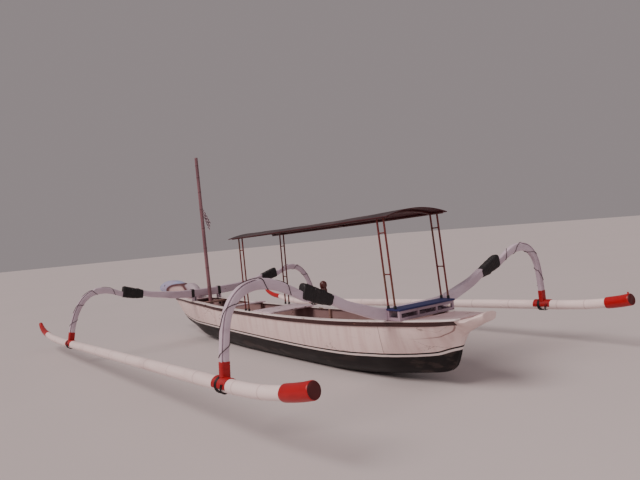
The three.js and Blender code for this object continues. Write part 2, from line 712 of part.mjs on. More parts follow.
// Carved animal head on the stem: x, underside, crown and half breadth
const headLine = [
  [3020, 0, 830, 50], [3148, 0, 945, 88], [3290, 0, 1002, 106], [3404, 0, 1008, 114],
  [3520, 0, 986, 120], [3636, 0, 962, 132], [3858, 0, 1012, 160], [4032, 0, 1038, 170],
  [4195, 0, 1046, 170], [4400, 716, 1040, 164], [4600, 745, 1014, 146], [4790, 800, 962, 106],
];
function addHead() {
  const rings = headLine.map(([x, under, crown, half]) => {
    const onDeck = sheerAt(x) + cap.thick + 2 * gap;
    const onStem = sheerAt(x) + 2 * gap;
    const low = under || (x <= cap.fore ? onDeck : onStem);
    const base = Math.min(half * 0.75, breadthAt(x) + 40);
    const middle = low + (crown - low) * 0.45;
    const shoulder = low + (crown - low) * 0.82;
    const side = [[base, low], [half, middle], [half * 0.78, shoulder], [half * 0.3, crown]];
    const across = (way) => side.map(([y, z]) => point(x, way * y, z));
    return [...across(port), ...across(starboard).reverse()];
  });
  addPiece('bow_head', skin(rings), 'blue');
}

// Carved wooden knob tied on top of the aft port binding
function addKnob() {
  const y = 1265;
  const base = 1160;
  const profile = [
    [0, 0], [26, 0], [30, 40], [39, 70], [36, 96], [27, 112], [33, 126], [27, 140], [0, 146],
  ].map(([radius, height]) => new THREE.Vector2(radius, height));
  const knob = new THREE.LatheGeometry(profile, 12)
    .rotateX(Math.PI / 2).translate(beams.aft.x - 46, y, base);
  addPiece('tie_knob', cutFrom(knob, lashingBlock(beams.aft, arms.aft, port, gap)), 'brown');
}

addHull();
addDecks();
addInside();
addBoards();
addBench();
addCrossings();
addRoof();
addMast();
addFlag();
addHead();
addKnob();
for (const [side, word] of [[port, 'port'], [starboard, 'starboard']]) {
  addRails(side, word);
  addFloats(side, word);
  for (const end of ['aft', 'front']) addFootBinding(end, side, word);
  for (const place of ['rear', 'front']) addPost(place, side, word);
}

export default canoe;
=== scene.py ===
# A double-outrigger fishing canoe under a long cambered roof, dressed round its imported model.
# Metres. +X runs to the bow, +Y to port and +Z up, from the middle of the keel's underside.

import bmesh
import bpy
import numpy as np
from mathutils import Matrix, Vector


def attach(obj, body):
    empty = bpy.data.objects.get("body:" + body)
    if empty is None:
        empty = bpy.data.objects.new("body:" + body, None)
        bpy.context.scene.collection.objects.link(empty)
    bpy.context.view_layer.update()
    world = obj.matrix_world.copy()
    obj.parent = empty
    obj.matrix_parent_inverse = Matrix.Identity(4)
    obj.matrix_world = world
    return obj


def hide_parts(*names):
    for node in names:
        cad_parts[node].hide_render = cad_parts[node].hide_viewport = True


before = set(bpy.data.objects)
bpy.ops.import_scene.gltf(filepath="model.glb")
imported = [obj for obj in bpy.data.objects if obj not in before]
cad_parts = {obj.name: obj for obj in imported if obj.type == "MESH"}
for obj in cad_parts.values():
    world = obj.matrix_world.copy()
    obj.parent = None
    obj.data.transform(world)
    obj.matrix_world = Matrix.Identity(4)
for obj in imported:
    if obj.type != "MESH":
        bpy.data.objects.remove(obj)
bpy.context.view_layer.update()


# Camera: off the port quarter, just under the height of the roof, looking forward along the boat
def in_scene(name, data):
    """A new object that shows the data, linked to the scene."""
    made = bpy.data.objects.new(name, data)
    bpy.context.scene.collection.objects.link(made)
    return made


camera = in_scene("camera", bpy.data.cameras.new("camera"))
bpy.context.scene.camera = camera
camera.data.sensor_fit = "HORIZONTAL"
camera.data.sensor_width = 36.0
camera.data.lens = 32.951
camera.data.clip_end = 300.0
camera.matrix_world = Matrix((
    (-0.59382, -0.04182, -0.80351, -7.4331),
    (-0.79977, -0.07853, 0.59514, 4.7694),
    (-0.08799, 0.99603, 0.01319, 1.7841),
    (0.0, 0.0, 0.0, 1.0),
))


# Materials: one Principled shader each, fed by sums of noises written as expressions
class Number:
    """One number that a node gives. Adding, multiplying and so on adds Math nodes."""

    def __init__(self, look, socket):
        self.look, self.socket = look, socket

    def maths(self, operation, first, second=0.0):
        return self.look.node("ShaderNodeMath", {"operation": operation}, {0: first, 1: second})

    def __add__(self, other):
        return self.maths("ADD", self, other)

    def __sub__(self, other):
        return self.maths("SUBTRACT", self, other)

    def __rsub__(self, other):
        return self.maths("SUBTRACT", other, self)

    def __mul__(self, other):
        return self.maths("MULTIPLY", self, other)

    def __abs__(self):
        return self.maths("ABSOLUTE", self)

    def sine(self):
        return self.maths("SINE", self)

    __radd__, __rmul__ = __add__, __mul__


class Look:
    """A material in the making: node() adds any node, and shade() feeds its shader."""

    def __init__(self, name):
        self.material = bpy.data.materials.new(name)
        self.material.use_nodes = True
        self.tree = self.material.node_tree
        self.shader = next(n for n in self.tree.nodes if n.type == "BSDF_PRINCIPLED")
        self.place = self.node("ShaderNodeTexCoord", output="Object")

    def join(self, value, socket):
        """Links a socket or a Number, or sets a plain value; three numbers for a colour get an alpha."""
        if isinstance(value, Number):
            value = value.socket
        if isinstance(value, bpy.types.NodeSocket):
            self.tree.links.new(value, socket)
        elif socket.type == "RGBA" and len(value) == 3:
            socket.default_value = (*value, 1.0)
        else:
            socket.default_value = value

    def node(self, kind, settings=None, sockets=None, output=0):
        made = self.tree.nodes.new(kind)
        for name, value in (settings or {}).items():
            setattr(made, name, value)
        for key, value in (sockets or {}).items():
            self.join(value, made.inputs[key])
        out = made.outputs[output]
        return Number(self, out) if out.type == "VALUE" else out

    def noise(self, scale, stretch=(1.0, 1.0, 1.0), detail=4.0, move=(0.0, 0.0, 0.0)):
        """Soft noise of about 0.5, finer with scale and squeezed along each axis by stretch."""
        vector = self.node("ShaderNodeMapping", None, {
            "Vector": self.place, "Location": move, "Scale": stretch})
        return self.node("ShaderNodeTexNoise", None, {"Vector": vector, "Scale": scale, "Detail": detail})

    def axis(self, name, vector=None):
        return self.node("ShaderNodeSeparateXYZ", None, {"Vector": vector or self.place}, name)

    def attribute(self, name):
        return self.node("ShaderNodeAttribute", {"attribute_name": name}, None, "Fac")

    def between(self, value, low, high):
        """0 below low, 1 above high and a smooth step from one to the other."""
        return self.node("ShaderNodeMapRange", {"interpolation_type": "SMOOTHSTEP"}, {
            "Value": value, "From Min": low, "From Max": high})

    def coats(self, colour, *over):
        """A colour with others laid over it in turn, each where its mask is."""
        for mask, coat in over:
            colour = self.node("ShaderNodeMix", {"data_type": "RGBA"}, {0: mask, 6: colour, 7: coat}, 2)
        return colour

    def shade(self, colour, rough, height, distance, **others):
        """Feeds the shader its colour, roughness and bump, and any other values by name."""
        bump = self.node("ShaderNodeBump", None, {"Height": height, "Distance": distance})
        sockets = {"Base Color": colour, "Roughness": rough, "Normal": bump, **others}
        for name, value in sockets.items():
            self.join(value, self.shader.inputs[name])
        return self.material


# Floor, sky and lamps of the studio
floor_look = Look("studio_floor")
floor_tone = floor_look.coats(
    (0.60, 0.54, 0.535), (floor_look.noise(0.4, detail=2.0), (0.63, 0.57, 0.565)))
floor_look.join(floor_tone, floor_look.shader.inputs["Base Color"])
floor_look.join(0.9, floor_look.shader.inputs["Roughness"])
floor_half = 90.0
floor_mesh = bpy.data.meshes.new("studio_floor")
floor_corners = [(x * floor_half, y * floor_half, 0) for x, y in ((-1, -1), (1, -1), (1, 1), (-1, 1))]
floor_mesh.from_pydata(floor_corners, [], [(0, 1, 2, 3)])
floor_mesh.materials.append(floor_look.material)
in_scene("studio_floor", floor_mesh)


def lamp(name, kind, energy, colour, place, toward, **settings):
    """A lamp at place that shines toward a point."""
    data = bpy.data.lights.new(name, kind)
    for key, value in {"energy": energy, "color": colour, **settings}.items():
        setattr(data, key, value)
    back = Vector(place) - Vector(toward)
    in_scene(name, data).matrix_world = (
        Matrix.Translation(place) @ back.to_track_quat("Z", "Y").to_matrix().to_4x4())


world = bpy.data.worlds.new("studio")
bpy.context.scene.world = world
world.use_nodes = True
world.node_tree.nodes["Background"].inputs["Color"].default_value = (0.97, 0.84, 0.86, 1.0)
world.node_tree.nodes["Background"].inputs["Strength"].default_value = 0.30
lamp("key", "SUN", 2.4, (1.0, 0.88, 0.84), (1.0, 10.0, 11.0), (0.0, 0.0, 0.0), angle=0.6)
lamp("fill", "AREA", 120.0, (1.0, 0.95, 0.95), (-11.0, 3.0, 5.0), (-1.0, 0.0, 0.8), size=6.0)


# Hull: a dugout bottom painted black, and planks and end blocks painted white above it, with a dark
# and a white line where they meet. Carved and planked by hand, so its lines are smooth curves.
sides = ((1, "port"), (-1, "starboard"))


def line(table, unit=0.001):
    """Curve through rows of millimetres and a value: a cubic between two rows, whose slope at a row is
    the harmonic mean of the two chords that meet there, or level where they turn."""
    x, value = np.array(table, float).T * [[0.001], [unit]]
    chord = np.diff(value) / np.diff(x)
    before, after = chord[:-1], chord[1:]
    same = before * after > 0
    mean = np.where(same, 2 * before * after / np.where(same, before + after, 1.0), 0.0)
    slope = np.concatenate([chord[:1], mean, chord[-1:]])

    def at(place):
        place = np.clip(place, x[0], x[-1])
        i = np.clip(np.searchsorted(x, place, side="right") - 1, 0, len(x) - 2)
        step = x[i + 1] - x[i]
        t = (place - x[i]) / step
        return (
            (2 * t**3 - 3 * t**2 + 1) * value[i] + (t**3 - 2 * t**2 + t) * slope[i] * step
            + (3 * t**2 - 2 * t**3) * value[i + 1] + (t**3 - t**2) * slope[i + 1] * step)

    return at


keel = line([
    [-3717, 762], [-3584, 704], [-3450, 631], [-3363, 561], [-3305, 396], [-3234, 239], [-3131, 171],
    [-2835, 118], [-2351, 60], [-1900, 20], [-1400, 0], [900, 0], [1436, 18], [2100, 36], [2611, 55],
    [2937, 112], [3148, 172], [3636, 300], [3858, 425], [4032, 545], [4195, 668]])
sheer = line([
    [-3717, 856], [-3620, 822], [-3540, 785], [-3216, 762], [-2783, 738], [-2104, 698], [-1297, 668],
    [-336, 652], [523, 656], [1535, 666], [2311, 696], [2923, 710], [3392, 716], [3800, 706],
    [4195, 686]])
breadth = line([
    [-3717, 108], [-3600, 185], [-3523, 252], [-3226, 340], [-2716, 391], [-1441, 417], [-166, 400],
    [1534, 349], [2724, 281], [3404, 187], [3914, 85], [4195, 26]])
stripe = line([
    [-3717, 480], [-3341, 469], [-3104, 407], [-2761, 372], [-2315, 340], [-1761, 309], [-1156, 301],
    [-414, 307], [727, 326], [1838, 345], [3149, 355], [3750, 396], [4195, 400]])
fullness = line([
    [-3717, 3.0], [-3540, 1.9], [-3363, 1.35], [-2800, 1.75], [-1300, 2.4], [1500, 2.2], [2900, 1.6],
    [4195, 1.2]], 1.0)
hollow = line([
    [-3717, 0.5], [-3540, 1.0], [-3363, 1.5], [-3131, 1.35], [-2835, 0.85], [-2351, 0.5],
    [2611, 0.5], [3148, 0.7], [3858, 0.9], [4195, 0.9]], 1.0)
flat_share = line([
    [-3717, 0.5], [-3540, 0.25], [-3363, 0.09], [-3131, 0.08], [-2351, 0.17], [-1400, 0.26],
    [900, 0.26], [2100, 0.18], [2937, 0.1], [4195, 0.1]], 1.0)
carving = line([
    [-3460, 748], [-3422, 709], [-3377, 673], [-3347, 644], [-3321, 627], [-3298, 617], [-3252, 595],
    [-3142, 577], [-3023, 559], [-2876, 543]])
hold_aft, hold_fore = -2.98, 3.148
side_wall, floor_wall, seam = 0.028, 0.046, 0.0003
butt_x, carving_ends = -2.472, (-3.46, -2.87)
lip_high, lip_ramp, lip_fade, groove_deep, groove_wide = 0.009, 0.005, 0.10, 0.004, 0.006
tail_from, tail_run, tail_round = -3.50, 0.06, 0.035


def hull_side(x, z, wall=0.0, floor=0.0):
    """Half breadth of the hull: breadth times a share, which grows from the keel's flat to 1 as
    (1 - (1 - height) to the fullness) to the hollow."""
    low = keel(x) + floor
    up = np.clip((z - low) / (sheer(x) - low), 0.0, 1.0)
    share = flat_share(x)
    return (breadth(x) - wall) * (share + (1 - share) * (1 - (1 - up) ** fullness(x)) ** hollow(x))


def mark(mesh, key, values):
    """Writes one number for each point of a mesh, for its material to read."""
    layer = mesh.attributes.new(key, "FLOAT", "POINT")
    layer.data.foreach_set("value", np.ravel(values).astype(np.float32))


def piece(name, shells, looks, slot, *replaced, sharp=0.7):
    """One mesh from closed shells. A shell's rings are m x n points, skinned lengthways and closed
    round; its two ends are closed to their middle, or, as a "lens", across from side to side.
    A shell whose volume comes out negative is turned inside out, then doubles are merged."""
    shells = [shell if isinstance(shell, dict) else {"rings": shell} for shell in shells]
    points, faces, kinds, base = [], [], [], 0
    values = {key: [] for shell in shells for key in shell.get("attributes", {})}
    for shell in shells:
        rings = shell["rings"]
        m, n = rings.shape[:2]
        index = np.arange(m * n).reshape(m, n)
        after = np.roll(index, -1, axis=1)
        skin = np.stack([index[:-1], after[:-1], after[1:], index[1:]], axis=-1).reshape(-1, 4)
        kind = np.broadcast_to(shell.get("kind", 0), (m - 1, n)).reshape(-1)
        middles = rings[[0, -1]].mean(axis=1)
        lens = shell.get("ends") == "lens"
        if lens:
            j, middles = np.arange(n // 2 - 1), np.zeros((0, 3))
            caps = [np.stack([row[j + 1], row[j], row[n - 1 - j], row[n - 2 - j]], axis=-1)[:, ::turn]
                    for row, turn in ((index[0], 1), (index[-1], -1))]
        else:
            caps = [np.stack([after[0], index[0], *[np.full(n, m * n)] * 2], axis=-1),
                    np.stack([index[-1], after[-1], *[np.full(n, m * n + 1)] * 2], axis=-1)]
        corners, skin = np.concatenate([rings.reshape(-1, 3), middles]), np.concatenate([skin, *caps])
        a, b, c, d = (corners[skin[:, k]] for k in range(4))
        volume = (np.cross(a, b) * c).sum() + (np.cross(a, c) * d).sum()
        points.append(corners)
        faces.append((skin[:, ::-1] if volume < 0 else skin) + base)
        kinds += [kind, np.full(len(caps[0]), kind[0]), np.full(len(caps[1]), kind[-1])]
        for key in values:
            given = np.broadcast_to(shell.get("attributes", {}).get(key, 0.0), (m, n))
            values[key] += [given.reshape(-1), [] if lens else given[[0, -1]].mean(axis=1)]
        base += len(corners)
    mesh = bpy.data.meshes.new(name)
    rows = [list(dict.fromkeys(row)) for row in np.concatenate(faces).tolist()]
    mesh.from_pydata(np.concatenate(points).tolist(), [], rows)
    mesh.polygons.foreach_set("material_index", np.concatenate(kinds).astype(np.int32))
    for key in sorted(values):
        mark(mesh, key, np.concatenate(values[key]))
    work = bmesh.new()
    work.from_mesh(mesh)
    bmesh.ops.remove_doubles(work, verts=work.verts, dist=1e-6)
    work.to_mesh(mesh)
    work.free()
    mesh.polygons.foreach_set("use_smooth", np.ones(len(mesh.polygons), bool))
    mesh.set_sharp_from_angle(angle=sharp)
    for look in looks:
        mesh.materials.append(look)
    made = in_scene(name, mesh)
    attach(made, "root")
    if replaced:
        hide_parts(*replaced)


def painted(name, colour, grime, bare, stretch=(1.0, 1.0, 1.0), worn=0.66, rough=0.42, deep=0.0012):
    """Brushed paint: broad soft grime, thin scuffs along the piece, and chips down to the wood."""
    look = Look(name)
    scuffs = look.noise(16.0, stretch, 6.0)
    chips = look.between(look.noise(30.0, stretch, 5.0, (3.0, 1.0, 2.0)), worn, worn + 0.04)
    tone = look.coats(
        colour, (look.between(look.noise(1.7, detail=3.0), 0.4, 0.75) * 0.45, grime),
        (look.between(scuffs, 0.52, 0.75) * 0.4, grime), (chips, bare))
    return look.shade(tone, scuffs * 0.25 + chips * 0.2 + (rough - 0.12), scuffs * 0.5 - chips, deep)


def topside_paint():
    """White brushed paint with rain streaks, brush marks, hairline cracks, painted shadow in the
    carving's groove, and to port the open butt between two planks."""
    look = Look("topside_paint")
    streaks = look.noise(5.0, (2.6, 1.0, 0.25), 5.0)
    brush = look.noise(22.0, (0.25, 1.0, 2.0), 5.0)
    crack = look.noise(3.0, (0.5, 1.0, 1.6), 6.0, (0.4, 0.0, 0.0))
    rare = look.between(look.noise(1.2, detail=2.0), 0.56, 0.62)
    cracks = (1 - look.between(abs(crack - 0.5), 0.0, 0.006)) * rare
    beside = abs(look.axis("X") - butt_x + (look.noise(4.0, detail=3.0) - 0.5) * 0.05)
    butt = (1 - look.between(beside, 0.0015, 0.006)) * look.between(look.axis("Y"), 0.0, 0.01)
    # The white is laid pink: a painted cast of warm light.
    tone = look.coats(
        (0.86, 0.68, 0.65), (look.between(streaks, 0.42, 0.72) * 0.55, (0.66, 0.46, 0.44)),
        (look.between(brush, 0.56, 0.8) * 0.35, (0.58, 0.42, 0.40)), (cracks * 0.8, (0.20, 0.12, 0.10)),
        (look.between(look.attribute("carved"), 0.25, 0.9) * 0.75, (0.23, 0.10, 0.09)),
        (butt * 0.8, (0.16, 0.07, 0.06)))
    return look.shade(tone, brush * 0.3 + 0.28, brush * 0.5 + streaks * 0.3 - cracks - butt, 0.0015)


def bottom_paint():
    """From the top of the dugout down: a dark line, a white line, then black with scrapes that show
    grey, told by the distance below the top."""
    look = Look("bottom_paint")
    down = look.attribute("below") + (look.noise(9.0, detail=3.0) - 0.5) * 0.006
    scrapes = look.noise(11.0, (0.2, 1.0, 1.0), 6.0)
    wear = look.between(look.noise(6.0, (0.35, 1.0, 1.0), 5.0, (5.0, 0.0, 0.0)), 0.58, 0.66)
    white = look.between(down, 0.016, 0.019) * (1 - look.between(down, 0.041, 0.045))
    tone = look.coats(
        (0.007, 0.005, 0.006), (look.between(scrapes, 0.55, 0.72) * 0.5, (0.045, 0.03, 0.028)),
        (wear * 0.25, (0.12, 0.085, 0.075)), (white, (0.82, 0.72, 0.70)))
    return look.shade(
        tone, scrapes * 0.35 + 0.30, scrapes + wear * 0.3, 0.002, **{"Specular IOR Level": 0.25})


def hull_places(start, end, count):
    """Even places along the hull, with both ends of the hold put in twice, and what lies in it."""
    x = np.sort(np.concatenate([np.linspace(start, end, count), [hold_aft, hold_fore] * 2]))
    held = (x > hold_aft) & (x < hold_fore)
    held[[np.searchsorted(x, hold_aft) + 1, np.searchsorted(x, hold_fore)]] = True
    return x[:, None], held[:, None]


def carved(x, z):
    """The carved step on the stern: a groove under a curve, which fades by the square of the distance,
    and a lip above it, a short ramp times a slow fade upwards, both between two ends."""
    slope = (carving(x + 0.001) - carving(x - 0.001)) / 0.002
    away = (z - carving(x)) / np.sqrt(1 + slope**2)
    aft, fore = carving_ends
    ends = np.clip((x - aft) / 0.02, 0, 1) * np.clip((fore - x) / 0.4, 0, 1)
    lip = np.clip(away / lip_ramp, 0, 1) * np.exp(-((away / lip_fade) ** 2))
    return np.exp(-(((away + 0.001) / groove_wide) ** 2)) * ends, lip * ends


def upper_side(x, up, way):
    """Outside of the planks at x, from the stripe (up 0) to the sheer (up 1), with its carving. Its
    top edge rolls in by a quarter circle toward the tail."""
    low = np.maximum(stripe(x), keel(x))
    z = low + up * (sheer(x) - low)
    groove, lip = carved(x, z)
    y = hull_side(x, z) + lip_high * lip - groove_deep * groove
    tail = np.clip((tail_from - x) / tail_run, 0, 1)
    drop = np.clip(1 - (sheer(x) - z) / tail_round, 0, 1)
    y = y * (1 - tail * (1 - np.sqrt(np.clip(1 - drop**2, 0.05, 1))))
    return np.stack([x + 0 * z, way * y, z], axis=-1), groove


dome_rings = 5


def domed(rings, reach, ends=(True, True)):
    """Rings with rounded ends: past an end the ring shrinks as a cosine while it moves on as a sine."""
    turn = np.linspace(0, np.pi / 2, dome_rings + 1)[1:, None, None]
    parts = [rings]
    for wanted, end, inner in ((ends[0], 0, 1), (ends[1], -1, -2)):
        middle = rings[end].mean(axis=0)
        onward = middle - rings[inner].mean(axis=0)
        onward = onward / np.linalg.norm(onward)
        cap = middle + (rings[end] - middle) * np.maximum(np.cos(turn), 0.001) + onward * reach * np.sin(turn)
        if wanted:
            parts = [cap[::-1], *parts] if end == 0 else [*parts, cap]
    return np.concatenate(parts)


def domed_marks(marks, ends=(True, True)):
    """A number for each point of domed rings: a dome has those of the ring that it grows from."""
    first, last = (np.repeat(marks[[k]], dome_rings * wanted, axis=0) for k, wanted in zip((0, -1), ends))
    return np.concatenate([first, marks, last])


topside = topside_paint()
# The inside of planks and dugout is laid dark mauve brown: painted shade inside the hull.
inner_paint_shaded = painted(
    "inner_paint_shaded", (0.36, 0.23, 0.225), (0.20, 0.12, 0.115), (0.13, 0.075, 0.06), (0.3, 1.0, 1.0))
side_rows, bottom_rows = 96, 30
rise = np.linspace(0, 1, side_rows)[None]
for way, word in sides:
    x, held = hull_places(-3.1307, 3.4037, 220)
    outer, groove = upper_side(x, rise, way)
    z = outer[:, ::-1, 2]
    inner_y = np.where(held, hull_side(x, z, side_wall, floor_wall), seam)
    inner = np.stack([x + 0 * z, way * inner_y, z], axis=-1)
    # The carved mask lays painted shadow in the carving's groove.
    piece(f"topside_{word}", [{
        "rings": np.concatenate([outer, inner], axis=1),
        "kind": np.repeat([0, 1, 0], [side_rows, side_rows - 1, 1])[None],
        "attributes": {"carved": np.concatenate([groove, 0 * groove], axis=1)},
    }], [topside, inner_paint_shaded], "white_paint", f"side_plank_{word}")

for name, start, end, node, rounded_end, swell in (
        ("stern_wood", -3.711, -3.1313, "stern_block", (True, False), 0.005),
        ("stem_wood", 3.4043, 4.19, "stem_block", (False, True), 0.018)):
    x = np.linspace(start, end, 120)[:, None]
    port_side, groove = upper_side(x, rise, 1)
    other_side, other_groove = upper_side(x, rise[:, ::-1], -1)
    # The carved mask lays painted shadow in the carving's groove.
    marks = domed_marks(np.concatenate([groove, other_groove], axis=1), rounded_end)
    rings = domed(np.concatenate([port_side, other_side], axis=1), swell, rounded_end)
    piece(name, [{"rings": rings, "attributes": {"carved": marks}}], [topside], "white_paint", node)

x, held = hull_places(-3.66, 4.19, 300)
reaches = (keel(x) < stripe(x) - 0.004)[:, 0]
x, held = x[reaches], held[reaches]
even = np.linspace(0, 1, bottom_rows)[None]
top, sole = stripe(x) - seam, keel(x) + floor_wall
z = keel(x) + even**2 * (top - keel(x))
z_in = sole + even**2 * (top - sole)
half = hull_side(x, z)
half_in = np.where(held, hull_side(x, z_in, side_wall, floor_wall), half[:, -1:] * (0.02 + 0.98 * even))
outside = np.stack([x + 0 * z, half, z], axis=-1)[:, ::-1]
inside = np.stack([x + 0 * z, -half_in, np.where(held, z_in, top)], axis=-1)[:, ::-1]
mirrored = [1, -1, 1]
rings = np.concatenate([outside, outside[:, ::-1] * mirrored, inside, inside[:, ::-1] * mirrored], axis=1)
piece("hull_bottom", [{
    "rings": rings, "kind": np.repeat([0, 1, 0], [2 * bottom_rows, 2 * bottom_rows - 1, 1])[None],
    "attributes": {"below": top - rings[:, :, 2]},
}], [bottom_paint(), inner_paint_shaded], "bottom_paint", "dugout")


# Rubrail and gunwale cap: a dark rail bent along the outside of the sheer, and a thin white cap
# nailed over plank and rail
def rounded(wide, deep, edge, corner=5, flat=0):
    """A rectangle with round edges, once round: four quarter circles, and flat points between them."""
    wide, deep = np.atleast_1d(wide)[:, None, None], np.atleast_1d(deep)[:, None, None]
    turn = np.radians(np.arange(4)[:, None] * 90 + np.linspace(0, 90, corner)[None])[None]
    across = np.array([1, -1, -1, 1])[None, :, None]
    upright = np.array([1, 1, -1, -1])[None, :, None]
    arcs = np.stack(np.broadcast_arrays(
        across * (wide / 2 - edge) + edge * np.cos(turn),
        upright * (deep / 2 - edge) + edge * np.sin(turn)), axis=-1)
    share = (np.arange(flat) + 1)[:, None] / (flat + 1)
    end, start = arcs[:, :, -1:], np.roll(arcs, -1, axis=1)[:, :, :1]
    whole = np.concatenate([arcs, end + (start - end) * share], axis=2)
    return whole.reshape(len(arcs), -1, 2)


rail_thick, rail_out, cap_wide, cap_thick, cap_in = 0.0163, 0.0089, 0.084, 0.017, 0.020
cap_top, cap_middle = 0.0176, 0.0088
rail_paint = painted(
    "rail_paint", (0.040, 0.010, 0.010), (0.075, 0.028, 0.024), (0.26, 0.13, 0.10), (0.2, 1.0, 1.0), 0.72)
cap_paint = painted(
    "cap_paint", (0.84, 0.75, 0.74), (0.52, 0.40, 0.37), (0.33, 0.24, 0.20), (0.2, 1.0, 1.0), 0.62)
for way, word in sides:
    x = np.linspace(-3.478, 4.024, 240)[:, None]
    section = rounded(rail_thick, 0.05 - 0.016 * np.clip((x[:, 0] - 1.0) / 3.0, 0, 1), 0.007)
    z = sheer(x) + section[..., 1] - section[..., 1].max(axis=1, keepdims=True)
    rail = np.stack([x + 0 * z, way * (hull_side(x, z) + rail_out + section[..., 0]), z], axis=-1)
    piece(f"rail_{word}", [domed(rail, 0.003)], [rail_paint], "brown_paint", f"rubrail_{word}")
    x = np.linspace(-3.505, 3.853, 220)[:, None]
    section = rounded(cap_wide, cap_thick, 0.006)
    z = sheer(x) + cap_middle + section[..., 1]
    cap = np.stack([x + 0 * z, way * (breadth(x) - cap_in + section[..., 0]), z], axis=-1)
    piece(f"cap_{word}", [domed(cap, 0.005)], [cap_paint], "white_paint", f"gunwale_cap_{word}")


# Decks, boards, bench, floor and frames: sawn timber with its edges taken off, painted or bare, nailed
# across the hull. Each is a copy of its solid, which has its whole shape, with its edges eased.
def eased(name, node, look, edge=0.003):
    """A copy of a node's mesh with its doubles merged and a narrow round bevel on its edges."""
    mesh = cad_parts[node].data.copy()
    mesh.name = name
    work = bmesh.new()
    work.from_mesh(mesh)
    bmesh.ops.remove_doubles(work, verts=work.verts, dist=1e-5)
    bmesh.ops.dissolve_limit(work, angle_limit=0.01, verts=work.verts, edges=work.edges)
    bmesh.ops.recalc_face_normals(work, faces=work.faces)
    work.to_mesh(mesh)
    work.free()
    mesh.materials.clear()
    mesh.materials.append(look)
    made = in_scene(name, mesh)
    bevel = made.modifiers.new("edges", "BEVEL")
    bevel.width, bevel.segments, bevel.limit_method, bevel.angle_limit = edge, 2, "ANGLE", 0.6
    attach(made, "root")
    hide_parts(node)


# The white deck boards are laid in a dull mauve: painted shade.
deck_paint_shaded = painted(
    "deck_paint_shaded", (0.70, 0.56, 0.62), (0.40, 0.28, 0.31), (0.24, 0.15, 0.13), (1.0, 0.2, 1.0), 0.6)
bare_wood = painted(
    "bare_wood", (0.34, 0.20, 0.17), (0.20, 0.11, 0.09), (0.11, 0.065, 0.05), (0.2, 1.0, 1.0), 0.6,
    rough=0.7, deep=0.002)
bench_board = painted(
    "bench_board", (0.012, 0.016, 0.105), (0.028, 0.030, 0.10), (0.12, 0.09, 0.12), (1.0, 0.2, 1.0), 0.70,
    rough=0.55)
# The white decks inside the hull are laid darker still: painted shade of the hull's inside.
sole_paint_shaded = painted(
    "sole_paint_shaded", (0.52, 0.38, 0.40), (0.28, 0.18, 0.19), (0.20, 0.12, 0.10), (1.0, 0.2, 1.0), 0.64)
# The bench frame's white is laid dark mauve: painted shade under the bench top.
bench_paint_shaded = painted(
    "bench_paint_shaded", (0.42, 0.31, 0.38), (0.20, 0.12, 0.16), (0.16, 0.09, 0.09), (1.0, 0.2, 1.0), 0.66)
for node in ("aft_deck", "fore_deck"):
    eased(f"{node}_planks", node, sole_paint_shaded)
for number in (1, 2, 3):
    eased(f"board_{number}", f"deck_board_{number}", deck_paint_shaded, 0.004)
    eased(f"frame_{number}", f"hull_frame_{number}", bare_wood)
for node in ("floor_boards", "mast_step", "mast_thwart"):
    eased(f"{node}_wood", node, bare_wood)
eased("bench_timber", "bench_frame", bench_paint_shaded)
eased("bench_seat", "bench_top", bench_board)


# Cross beams and arms: hewn timber, white, the beam squared and bent up at its ends, with chocks that
# seat it on the gunwale caps; the arm's root is scarfed under the beam and its leg stands on the float
def unit(vectors):
    return vectors / np.linalg.norm(vectors, axis=-1, keepdims=True)


def laid(path, across, up, section):
    """Rings of a flat section laid at each point of a path, along its two directions there."""
    return path[:, None] + across[:, None] * section[..., :1] + up[:, None] * section[..., 1:]


def carried(path, section, sideways=(1.0, 0.0, 0.0)):
    """Rings of a section carried along a path: its first sense is sideways made square to the path,
    its second is across both."""
    ahead = unit(np.gradient(path, axis=0))
    across = unit(np.array(sideways) - ahead * (ahead @ np.array(sideways))[:, None])
    return laid(path, across, np.cross(across, ahead), section)


def column(rows, k):
    """The curve through the first and the k-th number of each row."""
    return line([(row[0], row[k]) for row in rows])


def length_along(points):
    return np.concatenate([[0], np.cumsum(np.linalg.norm(np.diff(points, axis=0), axis=1))])


# Rows of a beam: place to port, height, depth, and how far aft it bends. Rows of an arm: place to
# port, height and depth. What is pared off each of them under the lashing is its slimmer. A thin lath
# covers the outer face of an arm from a share of its length on.
beams = {
    "aft": {
        "x": -2.644, "chock": (0.330, 0.394), "reach": 1.53, "lashed_from": 1.188, "slimmer": 0.013,
        "line": [
            [0, 820, 139, 0], [240, 821, 138, 0], [400, 826, 136, 0], [490, 836, 132, 3],
            [602, 866, 126, 10], [801, 934, 116, 26], [1018, 1012, 104, 40], [1178, 1096, 98, 46],
            [1350, 1182, 97, 48], [1530, 1268, 96, 48]],
    },
    "front": {
        "x": 2.725, "chock": (0.216, 0.286), "reach": 1.545, "lashed_from": 1.212, "slimmer": 0.003,
        "line": [
            [0, 861, 141, 0], [283, 866, 139, 0], [560, 878, 130, 0], [841, 918, 116, 0],
            [1077, 958, 104, 0], [1213, 1000, 98, 0], [1370, 1050, 97, 0], [1545, 1108, 96, 0]],
    },
}
